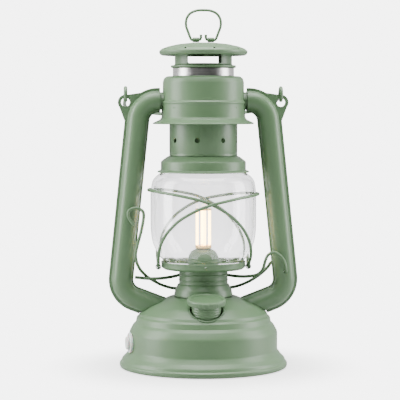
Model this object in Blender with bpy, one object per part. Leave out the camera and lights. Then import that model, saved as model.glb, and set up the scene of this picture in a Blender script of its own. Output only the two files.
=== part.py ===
"""Camping lantern: a pressed-steel hurricane lantern body with a rechargeable filament lamp.

Sizes are in millimetres and become metres when a mesh is made. +Z is up, -Y is the front,
and the origin is the middle of the base plate's underside.
"""
import math

import bmesh
import bpy
from mathutils import Matrix, Vector

MM = 0.001
GAP = 0.3            # between pieces that are seated on each other
RUN = 0.6            # between pieces that slide or turn past each other
SEGMENTS = 24        # round a turned piece
SMALL_SEGMENTS = 12  # round a small turned piece
MERGE = 0.001        # vertices closer than this are one

# Widths that the others follow
GLOBE_RADIUS = 42.2
SLEEVE_RADIUS = 24.4

# Tank and base
TANK_RADIUS = GLOBE_RADIUS + 17.2
TANK_HEIGHT = 57.0
TANK_WALL = 1.1
FOOT_PROUD = 7.8
STEP_INSET = 6.2
DOME_HEIGHT = 14.0
TANK_MOUTH_RADIUS = 20.0
BASE_THICKNESS = 1.4
SCREW_RADIUS = 1.3
SCREW_HEAD_RADIUS = 3.0
SCREW_COUNT = 3

# Electronics
TRAY_Z = 4.0
TRAY_THICKNESS = 1.4
CELL_RADIUS = 9.2
CELL_LENGTH = 65.0
CELL_Y = 20.0
CONTACT_THICKNESS = 0.5
CABLE_RADIUS = 1.0

# Charging port, on the left side
PORT_Z = 21.0
PORT_TURN = math.radians(11.0)
PORT_RING_RADIUS = 8.2
PORT_RING_PROUD = 1.8
PLUG_CAP_RADIUS = 5.2
PLUG_CAP_THICKNESS = 1.9
PLUG_STEM_RADIUS = 3.4
PLUG_STEM_LENGTH = 5.0

# Dimmer knob, shaped as a filler cap
KNOB_TILT = math.radians(10.0)
CUP_RADIUS = 14.0
KNOB_RADIUS = CUP_RADIUS + 1.0
KNOB_THICKNESS = 4.3
FILLER_NECK_RADIUS = CUP_RADIUS - 2.4
FILLER_NECK_HEIGHT = 10.2
FILLER_NECK_WALL = 2.4
CUP_WALL = 0.9
SHAFT_RADIUS = 3.0
POT_RADIUS = 8.0
POT_HEIGHT = 11.0

# Burner
NECK_HEIGHT = 21.0
NECK_FOOT_RADIUS = 23.4
NECK_TOP_RADIUS = 19.5
NECK_WALL = 1.0
CONE_RADIUS = 13.3
CONE_HEIGHT = 16.0
FILAMENT_RADIUS = 1.1
FILAMENT_LENGTH = 27.7
FILAMENT_CIRCLE = 5.1
FILAMENT_COUNT = 4

# Globe and the pieces that carry it
GLOBE_FOOT_RADIUS = 30.5
COLLAR_RADIUS = GLOBE_FOOT_RADIUS + 3.1
COLLAR_HEIGHT = 6.2
COLLAR_WALL = 0.9
GLOBE_HEIGHT = 85.0
GLOBE_MOUTH_RADIUS = SLEEVE_RADIUS + 7.0
GLASS = 1.6
GUARD_WIRE_RADIUS = 1.2
GUARD_RISE = 61.0
GUARD_DRAWN_RISE = 61.0   # rise that the guard wires' layout is drawn for
GUARD_LEFT_SHARE = 0.946
CLIP_LENGTH = 5.0

# Chimney, windshield and hood
CAP_WALL = 0.9
CHIMNEY_RADIUS = SLEEVE_RADIUS + 2.8
CHIMNEY_HEIGHT = 35.2
CHIMNEY_WALL = 0.8
CHIMNEY_HOLE_RADIUS = 2.0
CHIMNEY_HOLE_COUNT = 8
SLEEVE_LENGTH = 39.0
SLEEVE_WALL = 0.7
WINDSHIELD_RADIUS = SLEEVE_RADIUS + 8.0
WINDSHIELD_HEIGHT = 37.6
WINDSHIELD_WALL = 0.8
WINDSHIELD_LAP = 9.7
SPRING_WIRE_RADIUS = 1.2
SPRING_TURNS = 3
CROWN_RADIUS = SLEEVE_RADIUS - 1.6
CROWN_FLANGE = 3.2
CROWN_WALL = 0.9
WINDOW_WIDTH = 26.4
HOOD_RADIUS = CROWN_RADIUS + 12.5
HOOD_RISE = 20.1
HOOD_WALL = 0.8
LUG_RADIUS = 1.9
LUG_INNER_X = 3.4
LUG_LENGTH = 5.2
RING_WIRE_RADIUS = 1.05
RING_HEIGHT = 23.5
RING_HALF_WIDTH = 14.0

# Side tubes
TUBE_HALF_WIDTH = 8.0
TUBE_HALF_DEPTH = 9.8
TUBE_WALL = 1.0
TUBE_BEND = 16.0
TUBE_OFF_GLOBE = 8.5
TUBE_STAND_OFF = 7.1
TUBE_ARM_LENGTH = 36.5
TUBE_ARM_FALL = 0.386
FLANGE_OUT = 2.5
FLANGE_IN = 1.2
FLANGE_THICKNESS = 0.8
EAR_RADIUS = 6.2
EAR_HOLE_RADIUS = 3.5
FERRULE_HALF_WIDTH = 7.6
FERRULE_HALF_HEIGHT = 7.0

# Bail and lifting lever
BAIL_WIRE_RADIUS = 1.45
BAIL_EYE_RADIUS = 5.0
BAIL_SIDE = 60.0
BAIL_DROOP = math.radians(8.0)
LEVER_WIRE_RADIUS = 1.25
LEVER_PIVOT_RISE = 20.2   # above the top of the tank
LEVER_DRAWN_X = 65.4      # pivot of the layout that the lever's wires are drawn in
LEVER_DRAWN_Z = 77.2

# Heights that follow from the sizes above
NECK_Z = TANK_HEIGHT + 0.1 + GAP
NECK_TOP_Z = NECK_Z + NECK_HEIGHT
COLLAR_Z = NECK_TOP_Z + GAP + 0.1
GLOBE_Z = COLLAR_Z + COLLAR_WALL + GAP + 0.2
GLOBE_TOP_Z = GLOBE_Z + GLOBE_HEIGHT
CAP_Z = GLOBE_TOP_Z - 8.9
CAP_TOP_Z = CAP_Z + 13.1
CHIMNEY_Z = CAP_TOP_Z + GAP
CHIMNEY_TOP_Z = CHIMNEY_Z + CHIMNEY_HEIGHT
WINDSHIELD_Z = CHIMNEY_TOP_Z - WINDSHIELD_LAP
WINDSHIELD_TOP_Z = WINDSHIELD_Z + WINDSHIELD_HEIGHT
TUBE_TOP_Z = WINDSHIELD_Z + 17.7
SLEEVE_Z = CHIMNEY_TOP_Z - 5.0
SLEEVE_TOP_Z = SLEEVE_Z + SLEEVE_LENGTH
CROWN_Z = SLEEVE_TOP_Z + GAP
HOOD_TOP_Z = CROWN_Z + HOOD_RISE
LUG_Z = HOOD_TOP_Z + GAP + LUG_RADIUS

# Places of the side tubes
TUBE_LOW_X = TANK_RADIUS + TUBE_STAND_OFF
TUBE_LOW_Z = TANK_HEIGHT + 3.0
TUBE_HIGH_X = GLOBE_RADIUS + TUBE_OFF_GLOBE
TUBE_END_X = WINDSHIELD_RADIUS + 2.2
EAR_X = TUBE_HIGH_X + 11.3
EAR_Z = TUBE_TOP_Z - 1.0
BAIL_PIVOT_Z = EAR_Z + EAR_HOLE_RADIUS + 3.0
LEVER_PIVOT_X = TUBE_LOW_X - 1.1
LEVER_PIVOT_Z = TANK_HEIGHT + LEVER_PIVOT_RISE

# Colour, roughness and metallic value of each finish
FINISHES = {
    "green paint": ((0.225, 0.333, 0.205), 0.36, 0.0),
    "dark green paint": ((0.16, 0.25, 0.145), 0.42, 0.0),
    "zinc": ((0.52, 0.52, 0.51), 0.32, 1.0),
    "steel": ((0.45, 0.45, 0.44), 0.35, 1.0),
    "brass": ((0.62, 0.44, 0.17), 0.35, 1.0),
    "glass": ((0.92, 0.93, 0.94), 0.04, 0.0),
    "filament": ((1.0, 0.78, 0.38), 0.4, 0.0),
    "black plastic": ((0.03, 0.03, 0.032), 0.5, 0.0),
    "silicone": ((0.70, 0.72, 0.68), 0.55, 0.0),
    "circuit board": ((0.03, 0.14, 0.07), 0.45, 0.0),
    "cell wrap": ((0.05, 0.16, 0.35), 0.35, 0.0),
}


def clear_scene():
    """Remove every object that the scene starts with."""
    for obj in list(bpy.data.objects):
        bpy.data.objects.remove(obj, do_unlink=True)


def make_material(name, finish):
    """Principled material of one piece."""
    colour, roughness, metallic = FINISHES[finish]
    material = bpy.data.materials.new(name + "_" + finish.replace(" ", "_"))
    material.use_nodes = True
    shader = material.node_tree.nodes["Principled BSDF"]
    shader.inputs["Base Color"].default_value = (*colour, 1.0)
    shader.inputs["Roughness"].default_value = roughness
    shader.inputs["Metallic"].default_value = metallic
    if finish == "glass":
        shader.inputs["Transmission Weight"].default_value = 1.0
    return material


def add_object(name, bm, finish, matrix=None):
    """Turn a bmesh in millimetres into a named object in metres."""
    bmesh.ops.remove_doubles(bm, verts=bm.verts, dist=MERGE)
    bmesh.ops.recalc_face_normals(bm, faces=bm.faces)
    if matrix is not None:
        bm.transform(matrix)
    bm.transform(Matrix.Scale(MM, 4))
    mesh = bpy.data.meshes.new(name)
    bm.to_mesh(mesh)
    bm.free()
    mesh.shade_smooth()
    mesh.set_sharp_from_angle(angle=math.radians(35.0))
    obj = bpy.data.objects.new(name, mesh)
    bpy.context.collection.objects.link(obj)
    if finish is not None:
        mesh.materials.append(make_material(name, finish))
    return obj


def turned_bmesh(profile, segments=SEGMENTS):
    """Spin a closed (radius, height) outline round Z. It may start and end on the axis."""
    bm = bmesh.new()
    verts = [bm.verts.new((r, 0.0, z)) for r, z in profile]
    pairs = list(zip(verts, verts[1:]))
    if profile[0][0] > MERGE or profile[-1][0] > MERGE:
        pairs.append((verts[-1], verts[0]))
    edges = [bm.edges.new(pair) for pair in pairs]
    bmesh.ops.spin(bm, geom=verts + edges, cent=(0, 0, 0), axis=(0, 0, 1), dvec=(0, 0, 0),
                   angle=math.tau, steps=segments, use_merge=True, use_duplicate=False)
    return bm


def turned(name, profile, finish, segments=SEGMENTS, matrix=None):
    """A turned piece as an object."""
    return add_object(name, turned_bmesh(profile, segments), finish, matrix)


def inset_line(points, distance):
    """Move an open line to its left by a wall's thickness, with mitred corners."""
    line = [Vector(point) for point in points]
    normals = []
    for start, end in zip(line, line[1:]):
        along = (end - start).normalized()
        normals.append(Vector((-along.y, along.x)))
    moved = []
    for index, point in enumerate(line):
        before = normals[max(index - 1, 0)]
        after = normals[min(index, len(normals) - 1)]
        bisector = (before + after).normalized()
        moved.append(point + bisector * (distance / max(bisector.dot(after), 0.4)))
    return [tuple(point) for point in moved]


def shell_profile(outer, wall):
    """Closed outline of a pressed sheet whose outer line runs from bottom to top."""
    return list(outer) + list(reversed(inset_line(outer, wall)))


def disc_profile(radius, low, high):
    """Closed outline of a plain solid disc or rod."""
    return [(0.0, low), (radius, low), (radius, high), (0.0, high)]


def tube_profile(outer, inner, low, high):
    """Closed outline of a plain tube."""
    return [(inner, low), (outer, low), (outer, high), (inner, high)]


def box_bmesh(low, high):
    """A box between two corners."""
    bm = bmesh.new()
    bmesh.ops.create_cube(bm, size=1.0)
    size = Vector(high) - Vector(low)
    centre = (Vector(high) + Vector(low)) / 2.0
    bm.transform(Matrix.Translation(centre) @ Matrix.Diagonal((*size, 1.0)))
    return bm


def make_cutter(name, bm, matrix=None):
    """A hidden shape that only cuts or joins."""
    cutter = add_object(name, bm, None, matrix)
    cutter.hide_render = True
    cutter.display_type = "WIRE"
    return cutter


def boolean(obj, tool, operation="DIFFERENCE", solver="EXACT"):
    """Cut, join or intersect a piece with a hidden shape."""
    modifier = obj.modifiers.new(operation.lower() + "_" + tool.name, "BOOLEAN")
    modifier.operation = operation
    modifier.solver = solver
    modifier.object = tool


def turn_to(axis):
    """Rotation that brings +Z onto an axis."""
    return Vector((0.0, 0.0, 1.0)).rotation_difference(Vector(axis)).to_matrix().to_4x4()


def round_cutter(name, centre, axis, radius, length, segments=SMALL_SEGMENTS):
    """A hidden cylinder whose middle is at centre."""
    bm = turned_bmesh(disc_profile(radius, -length / 2.0, length / 2.0), segments)
    return make_cutter(name, bm, Matrix.Translation(centre) @ turn_to(axis))


def smooth_route(points, step, cyclic=False):
    """Points every step or so along a smooth curve through the route's own points."""
    route = [Vector(point) for point in points]
    count = len(route)
    spans = count if cyclic else count - 1
    result = []
    for index in range(spans):
        if cyclic:
            p0, p1, p2, p3 = (route[(index + shift) % count] for shift in (-1, 0, 1, 2))
        else:
            p1, p2 = route[index], route[index + 1]
            p0 = route[index - 1] if index > 0 else p1 * 2.0 - p2
            p3 = route[index + 2] if index + 2 < count else p2 * 2.0 - p1
        pieces = max(1, round((p2 - p1).length / step))
        for piece in range(pieces):
            t = piece / pieces
            result.append(0.5 * (2.0 * p1 + (p2 - p0) * t + (2.0 * p0 - 5.0 * p1 + 4.0 * p2 - p3) * t ** 2
                                 + (3.0 * p1 - p0 - 3.0 * p2 + p3) * t ** 3))
    if not cyclic:
        result.append(route[-1])
    return result


def wire(name, points, radius, finish, cyclic=False):
    """A round wire along points that are already close together."""
    curve = bpy.data.curves.new(name, "CURVE")
    curve.dimensions = "3D"
    curve.resolution_u = 1
    curve.render_resolution_u = 0
    curve.bevel_depth = radius * MM
    curve.bevel_resolution = 2
    curve.use_fill_caps = not cyclic
    spline = curve.splines.new("POLY")
    spline.points.add(len(points) - 1)
    for place, point in zip(spline.points, points):
        place.co = (*(Vector(point) * MM), 1.0)
    spline.use_cyclic_u = cyclic
    curve.materials.append(make_material(name, finish))
    obj = bpy.data.objects.new(name, curve)
    bpy.context.collection.objects.link(obj)
    return obj


def joint_empty(name, place):
    """An empty on a joint's axis, for the pieces that move on it."""
    empty = bpy.data.objects.new(name, None)
    empty.location = Vector(place) * MM
    empty.empty_display_size = 10.0 * MM
    bpy.context.collection.objects.link(empty)
    return empty


def hang_on(empty, objects):
    """Parent pieces to a joint's empty, leaving them where they are."""
    for obj in objects:
        obj.parent = empty
        obj.matrix_parent_inverse = Matrix.Translation(empty.location).inverted()


# ---------------------------------------------------------------- tank and base

def tank_outline():
    """Outer line of the tank from its foot bead to the mouth under the burner neck."""
    wall = TANK_RADIUS
    bead = wall + FOOT_PROUD
    step = wall - STEP_INSET
    edge = TANK_HEIGHT - DOME_HEIGHT
    half = (step + TANK_MOUTH_RADIUS) / 2.0
    return [
        (bead - 4.8, 0.4), (bead - 1.0, 0.9), (bead, 3.0), (bead - 1.2, 5.6),
        (bead - 4.4, 8.6), (bead - 6.6, 12.0), (wall, 16.0), (wall, edge - 15.0),
        (wall - 1.1, edge - 12.6), (wall - 3.4, edge - 9.4), (step + 0.4, edge - 6.0),
        (step, edge - 3.0), (step - 1.2, edge), (half + 6.6, edge + 6.6),
        (half - 4.0, edge + 11.2), (TANK_MOUTH_RADIUS + 7.0, edge + 13.6),
        (TANK_MOUTH_RADIUS, TANK_HEIGHT),
    ]


def tank_block(name, spread):
    """Hidden solid as large as the tank and a spread all round."""
    outline = inset_line(tank_outline(), -spread) if spread else tank_outline()
    profile = [(0.0, outline[0][1])] + outline + [(0.0, outline[-1][1])]
    return make_cutter(name, turned_bmesh(profile))


def port_matrix():
    """Frame of the charging port: +Z runs outwards along the port's axis."""
    axis = (-math.cos(PORT_TURN), -math.sin(PORT_TURN), 0.0)
    return Matrix.Translation((0.0, 0.0, PORT_Z)) @ turn_to(axis)


def knob_matrix():
    """Frame of the dimmer: +Z runs up along the knob's axis from the well's floor."""
    reach = TANK_RADIUS - STEP_INSET - CUP_RADIUS - 1.0
    base = Vector((0.0, -reach, TANK_HEIGHT - 12.0))
    return Matrix.Translation(base) @ Matrix.Rotation(KNOB_TILT, 4, "X")


def build_tank(spread_block, block):
    """Tank shell, base plate and its screws."""
    tank = turned("tank_shell", shell_profile(tank_outline(), TANK_WALL), "green paint")
    well = turned_bmesh(disc_profile(CUP_RADIUS + GAP, -5.0, 22.0))
    boolean(tank, make_cutter("cut_well", well, knob_matrix()))
    port = turned_bmesh(disc_profile(PLUG_STEM_RADIUS + 0.5, TANK_RADIUS - 6.0, TANK_RADIUS + 6.0),
                        SMALL_SEGMENTS)
    boolean(tank, make_cutter("cut_port", port, port_matrix()))

    plate_radius = TANK_RADIUS + FOOT_PROUD - 4.8 - 0.7
    plate = turned("base_plate", disc_profile(plate_radius, 0.0, BASE_THICKNESS), "dark green paint")
    sink = [(0.0, -0.5), (SCREW_HEAD_RADIUS + GAP, -0.5), (SCREW_HEAD_RADIUS + GAP, 0.2),
            (SCREW_RADIUS + GAP, BASE_THICKNESS), (SCREW_RADIUS + GAP, 3.0), (0.0, 3.0)]
    screw = [(0.0, 0.1), (SCREW_HEAD_RADIUS, 0.1), (SCREW_HEAD_RADIUS, 0.3),
             (SCREW_RADIUS, BASE_THICKNESS), (SCREW_RADIUS, TRAY_Z + 3.6), (0.0, TRAY_Z + 3.6)]
    for number, place in enumerate(screw_places(), start=1):
        matrix = Matrix.Translation(place)
        boolean(plate, make_cutter(f"cut_sink_{number}", turned_bmesh(sink, SMALL_SEGMENTS), matrix))
        turned(f"base_screw_{number}", screw, "steel", 12, matrix)
    build_tray()
    build_dimmer(block)
    build_port(spread_block)


def screw_places():
    """Middle of each base screw."""
    reach = TANK_RADIUS - 9.4
    turns = [math.radians(94.0 + 360.0 * index / SCREW_COUNT) for index in range(SCREW_COUNT)]
    return [Vector((reach * math.cos(turn), reach * math.sin(turn), 0.0)) for turn in turns]


def build_tray():
    """Tray that carries the cell, its contacts and the driver board."""
    radius = TANK_RADIUS - 7.4
    top = TRAY_Z + TRAY_THICKNESS
    tray = turned("electronics_tray", disc_profile(radius, TRAY_Z, top), "black plastic")
    boss_low = BASE_THICKNESS + GAP
    for number, place in enumerate(screw_places(), start=1):
        matrix = Matrix.Translation(place)
        boss = turned_bmesh(disc_profile(SCREW_RADIUS + 2.3, boss_low, TRAY_Z + 5.0), SMALL_SEGMENTS)
        boolean(tray, make_cutter(f"join_boss_{number}", boss, matrix), "UNION")
        hole = turned_bmesh(disc_profile(SCREW_RADIUS + GAP, 0.0, TRAY_Z + 4.0), SMALL_SEGMENTS)
        boolean(tray, make_cutter(f"cut_boss_{number}", hole, matrix))
    cell_z = top + GAP + CELL_RADIUS + 1.0
    for number, side in enumerate((-1.0, 1.0), start=1):
        middle = side * CELL_LENGTH * 0.28
        reach = CELL_RADIUS + 2.0
        saddle = box_bmesh((middle - 1.5, CELL_Y - reach, TRAY_Z + 0.5),
                           (middle + 1.5, CELL_Y + reach, cell_z - 3.0))
        boolean(tray, make_cutter(f"join_saddle_{number}", saddle), "UNION")
    seat = round_cutter("cut_saddle", (0.0, CELL_Y, cell_z), (1, 0, 0), CELL_RADIUS + GAP,
                        CELL_LENGTH + 4.0, SEGMENTS)
    boolean(tray, seat)

    half = CELL_LENGTH / 2.0
    nub = 1.2
    cell = [(0.0, -half), (CELL_RADIUS, -half), (CELL_RADIUS, half - nub), (3.2, half - nub),
            (3.2, half), (0.0, half)]
    turned("battery_cell", cell, "cell wrap", SEGMENTS,
           Matrix.Translation((0.0, CELL_Y, cell_z)) @ turn_to((1, 0, 0)))
    for name, side in (("battery_contact_minus", -1.0), ("battery_contact_plus", 1.0)):
        near = side * (half + GAP)
        far = side * (half + GAP + CONTACT_THICKNESS)
        contact = box_bmesh((min(near, far), CELL_Y - 4.0, top + GAP),
                            (max(near, far), CELL_Y + 4.0, cell_z + 4.0))
        add_object(name, contact, "brass")

    board_top = top + GAP + 1.6
    board = add_object("driver_board", box_bmesh((-18.0, -26.0, top + GAP), (18.0, -4.0, board_top)),
                       "circuit board")
    chips = (((-14.0, -22.0), (-6.0, -14.0), 4.0), ((4.0, -20.0), (12.0, -14.0), 1.2))
    for number, (low, high, height) in enumerate(chips, start=1):
        chip = box_bmesh((*low, board_top - 0.4), (*high, board_top + height))
        boolean(board, make_cutter(f"join_chip_{number}", chip), "UNION")


def build_port(spread_block):
    """Charging socket behind the tank wall, the ring round the port and its plug."""
    matrix = port_matrix()
    wall_inside = (TANK_RADIUS - TANK_WALL) * math.cos(math.pi / SEGMENTS)
    depth = math.sqrt(wall_inside ** 2 - 5.0 ** 2) - GAP
    socket_box = box_bmesh((-4.5, -5.0, depth - 10.0), (4.5, 5.0, depth))
    socket = add_object("charge_socket", socket_box, "steel", matrix)
    plug_face = TANK_RADIUS + PORT_RING_PROUD + GAP
    recess = turned_bmesh(disc_profile(PLUG_STEM_RADIUS + 0.4, plug_face - PLUG_STEM_LENGTH - 1.0,
                                       depth + 1.0), SMALL_SEGMENTS)
    boolean(socket, make_cutter("cut_socket", recess, matrix))
    ring = turned("port_ring", tube_profile(PORT_RING_RADIUS, PLUG_STEM_RADIUS + 0.5,
                                            TANK_RADIUS - 3.0, TANK_RADIUS + PORT_RING_PROUD),
                  "silicone", 24, matrix)
    boolean(ring, spread_block)
    cap = PLUG_CAP_RADIUS
    plug = [(0.0, plug_face - PLUG_STEM_LENGTH), (PLUG_STEM_RADIUS, plug_face - PLUG_STEM_LENGTH),
            (PLUG_STEM_RADIUS, plug_face), (cap, plug_face), (cap, plug_face + PLUG_CAP_THICKNESS - 0.6),
            (cap - 0.8, plug_face + PLUG_CAP_THICKNESS), (0.0, plug_face + PLUG_CAP_THICKNESS)]
    piece = turned("port_plug", plug, "silicone", 24, matrix)
    axis = joint_empty("plug_pull_axis", matrix @ Vector((0.0, 0.0, plug_face)))
    hang_on(axis, [piece])


def build_dimmer(block):
    """Well, filler neck, dimmer and the knob shaped as a filler cap."""
    matrix = knob_matrix()
    floor = -0.4 - GAP
    low = floor - CUP_WALL
    bore = SHAFT_RADIUS + RUN
    cup = [(bore, low), (CUP_RADIUS, low), (CUP_RADIUS, 20.0), (CUP_RADIUS - CUP_WALL, 20.0),
           (CUP_RADIUS - CUP_WALL, floor), (bore, floor)]
    well = turned("filler_well", cup, "green paint", SEGMENTS, matrix)
    boolean(well, block, "INTERSECT")

    top = FILLER_NECK_HEIGHT - 0.4
    neck = tube_profile(FILLER_NECK_RADIUS, FILLER_NECK_RADIUS - FILLER_NECK_WALL, -0.4, top)
    turned("filler_neck", neck, "green paint", SEGMENTS, matrix)

    turned("dimmer_pot", disc_profile(POT_RADIUS, low - GAP - POT_HEIGHT, low - GAP), "black plastic",
           SMALL_SEGMENTS, matrix)
    knob_low = top + RUN
    knob_high = knob_low + KNOB_THICKNESS
    shaft = turned("pot_shaft", disc_profile(SHAFT_RADIUS, low, knob_low - GAP), "steel", 12, matrix)
    radius = KNOB_RADIUS
    knob = turned("dimmer_knob", [(0.0, knob_low), (radius - 1.0, knob_low), (radius, knob_low + 0.8),
                                  (radius, knob_high - 0.8), (radius - 0.9, knob_high),
                                  (radius - 2.4, knob_high - 0.1), (radius - 3.4, knob_high - 0.9),
                                  (0.0, knob_high - 0.5)], "green paint", SEGMENTS, matrix)
    hang_on(joint_empty("knob_turn_axis", matrix @ Vector((0.0, 0.0, knob_low))), [shaft, knob])


# ---------------------------------------------------------------- burner

def build_burner():
    """Neck on the tank, the burner cone and the filament lamp on it."""
    foot, top = NECK_FOOT_RADIUS, NECK_TOP_RADIUS
    low, high = NECK_Z, NECK_TOP_Z
    outer = [(foot, low), (foot - 0.9, low + 5.2), (top + 1.0, low + 9.1), (top, low + 9.6),
             (top, high), (5.0, high)]
    turned("burner_neck", shell_profile(outer, NECK_WALL), "green paint")

    cone_low = high + GAP
    radius = CONE_RADIUS
    cone = [(radius, cone_low), (radius, cone_low + 2.8), (radius - 0.5, cone_low + 3.3),
            (radius - 0.5, cone_low + 7.3), (radius - 1.4, cone_low + 10.8),
            (radius - 3.6, cone_low + 13.9), (radius - 6.4, cone_low + 15.6), (5.2, cone_low + CONE_HEIGHT)]
    turned("burner_cone", shell_profile(cone, 0.8), "green paint", 16)

    base_low = cone_low + CONE_HEIGHT + GAP
    base_high = base_low + 2.5
    turned("filament_base", disc_profile(FILAMENT_CIRCLE + 1.5, base_low, base_high), "brass",
           SMALL_SEGMENTS)
    rod_low = base_high + GAP
    rod_high = rod_low + FILAMENT_LENGTH
    for index in range(FILAMENT_COUNT):
        turn = math.tau * index / FILAMENT_COUNT + math.radians(8.0)
        place = (FILAMENT_CIRCLE * math.cos(turn), FILAMENT_CIRCLE * math.sin(turn), 0.0)
        turned(f"filament_{index + 1}", disc_profile(FILAMENT_RADIUS, rod_low, rod_high), "filament",
               10, Matrix.Translation(place))
    turned("filament_crown", disc_profile(FILAMENT_CIRCLE + 1.5, rod_high + GAP, rod_high + GAP + 1.2),
           "brass", SMALL_SEGMENTS)
    board_top = TRAY_Z + TRAY_THICKNESS + GAP + 1.6
    route = [(0.0, -8.0, board_top + GAP + CABLE_RADIUS), (0.0, -7.0, board_top + 6.0),
             (0.0, -3.0, TANK_HEIGHT * 0.5), (0.0, -0.5, TANK_HEIGHT), (0.0, 0.0, high),
             (0.0, 0.0, base_low - GAP)]
    wire("filament_cable", smooth_route(route, 7.0), CABLE_RADIUS, "black plastic")


# ---------------------------------------------------------------- globe carrier

def globe_outline():
    """Outer line of the glass from its foot to its mouth."""
    foot, belly, mouth = GLOBE_FOOT_RADIUS, GLOBE_RADIUS, GLOBE_MOUTH_RADIUS
    low, high = GLOBE_Z, GLOBE_TOP_Z
    return [
        (foot, low), (foot + 0.3, low + 4.3), (foot + 1.7, low + 5.4), (belly - 7.6, low + 8.2),
        (belly - 3.4, low + 15.4), (belly - 1.2, low + 21.2), (belly, low + 29.8),
        (belly, high - 23.3), (belly - 1.6, high - 15.3), (belly - 4.6, high - 12.0),
        (mouth + 3.2, high - 9.7), (mouth + 0.9, high - 7.8), (mouth, high - 4.3), (mouth, high),
    ]


def outline_radius(outline, height):
    """Radius of an outline at a height, between its own points."""
    for (r0, z0), (r1, z1) in zip(outline, outline[1:]):
        if z0 <= height <= z1:
            return r0 + (r1 - r0) * (height - z0) / (z1 - z0)
    return outline[0][0] if height < outline[0][1] else outline[-1][0]


def guard_route(side, share, outward):
    """Loop of one guard wire: up from its hinge, round the glass, and back down behind it.

    side is +1 for the loop hinged on the right, share scales its rise, and outward is how far
    it stands off where it crosses the other loop.
    """
    rises = ((24.0, 9.0), (34.0, 18.0), (42.0, 26.0), (50.0, 33.0), (61.0, 40.5), (72.0, 46.0),
             (84.0, 51.0), (96.0, 54.6), (110.0, 57.0), (128.0, 59.2), (150.0, 60.6))
    low = clip_centre()[1] + 0.5
    outline = globe_outline()
    stand = GUARD_WIRE_RADIUS + 0.5
    front = []
    for degrees, rise in rises:
        turn = math.radians(degrees)
        height = low + rise * share * GUARD_RISE / GUARD_DRAWN_RISE
        crossing = math.exp(-((degrees - 91.0) / 24.0) ** 2)
        belly = max(outline_radius(outline, height), outline_radius(outline, height + 5.0))
        radius = max(belly, COLLAR_RADIUS + 0.9) + stand + outward * crossing
        front.append(Vector((side * radius * math.cos(turn), -radius * math.sin(turn), height)))
    apex = Vector((-side * (GLOBE_RADIUS + stand), 0.0, low + GUARD_RISE * share))
    hinge_x, hinge_z = clip_centre()
    foot = [Vector((side * hinge_x, -CLIP_LENGTH / 2.0, hinge_z)),
            Vector((side * (hinge_x + 0.1), -CLIP_LENGTH / 2.0 - 2.2, hinge_z + 0.6)),
            Vector((side * (hinge_x + 0.1), -CLIP_LENGTH / 2.0 - 4.4, hinge_z + 3.4))]
    half = foot + front
    back = [Vector((point.x, -point.y, point.z)) for point in reversed(half)]
    return half + [apex] + back


def clip_centre():
    """Distance from the axis and height of the guard wires' hinge lines."""
    return COLLAR_RADIUS + GAP + GUARD_WIRE_RADIUS + 1.0, COLLAR_Z + 1.8


def build_globe_carrier():
    """Collar, globe and the two guard wires with their clips, which rise together."""
    collar = [(CONE_RADIUS + 2.4, COLLAR_Z), (COLLAR_RADIUS - 2.1, COLLAR_Z),
              (COLLAR_RADIUS, COLLAR_Z + 1.6), (COLLAR_RADIUS, COLLAR_Z + COLLAR_HEIGHT)]
    pieces = [turned("globe_collar", shell_profile(collar, COLLAR_WALL), "green paint")]
    pieces.append(turned("globe", shell_profile(globe_outline(), GLASS), "glass"))
    crossing = 2.0 * GUARD_WIRE_RADIUS + GAP + 0.2
    hinge_x, hinge_z = clip_centre()
    for name, side, share, outward in (("right", 1.0, 1.0, 0.0), ("left", -1.0, GUARD_LEFT_SHARE, crossing)):
        route = smooth_route(guard_route(side, share, outward), 9.0, cyclic=True)
        pieces.append(wire(f"guard_wire_{name}", route, GUARD_WIRE_RADIUS, "green paint", cyclic=True))
        clip = tube_profile(GUARD_WIRE_RADIUS + 1.0, GUARD_WIRE_RADIUS + GAP,
                            -CLIP_LENGTH / 2.0 + 0.6, CLIP_LENGTH / 2.0 - 0.6)
        matrix = Matrix.Translation((side * hinge_x, 0.0, hinge_z)) @ turn_to((0, 1, 0))
        pieces.append(turned(f"guard_clip_{name}", clip, "green paint", SMALL_SEGMENTS, matrix))
    hang_on(joint_empty("globe_lift_axis", (0.0, 0.0, COLLAR_Z)), pieces)


# ---------------------------------------------------------------- chimney, hood and windshield

def build_hood():
    """Globe cap, chimney, inner sleeve, crown, hood cap and the carrying ring."""
    lap = CAP_Z + 1.8
    band = GLOBE_MOUTH_RADIUS + 2.6
    cap = [(band + 2.7, CAP_Z), (band, lap), (band, lap + 7.6), (CHIMNEY_RADIUS, CAP_TOP_Z)]
    pieces = [turned("globe_cap", shell_profile(cap, CAP_WALL), "green paint")]

    chimney = [(CHIMNEY_RADIUS, CHIMNEY_Z), (CHIMNEY_RADIUS, CHIMNEY_TOP_Z - 1.2),
               (CHIMNEY_RADIUS - 1.0, CHIMNEY_TOP_Z), (SLEEVE_RADIUS + GAP, CHIMNEY_TOP_Z)]
    tube = turned("chimney_tube", shell_profile(chimney, CHIMNEY_WALL), "green paint")
    for index in range(CHIMNEY_HOLE_COUNT):
        turn = math.tau * index / CHIMNEY_HOLE_COUNT + math.radians(-58.5)
        axis = Vector((math.cos(turn), math.sin(turn), 0.0))
        centre = axis * CHIMNEY_RADIUS + Vector((0.0, 0.0, CHIMNEY_Z + 12.2))
        boolean(tube, round_cutter(f"cut_air_{index + 1}", centre, axis, CHIMNEY_HOLE_RADIUS, 8.0, 10))
    pieces.append(tube)

    sleeve = tube_profile(SLEEVE_RADIUS, SLEEVE_RADIUS - SLEEVE_WALL, SLEEVE_Z, SLEEVE_TOP_Z)
    pieces.append(turned("inner_sleeve", sleeve, "zinc"))
    pieces += build_crown()
    hood = joint_empty("hood_lift_axis", (0.0, 0.0, CAP_Z))
    hang_on(hood, pieces)
    build_carrying_ring(hood)


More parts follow.
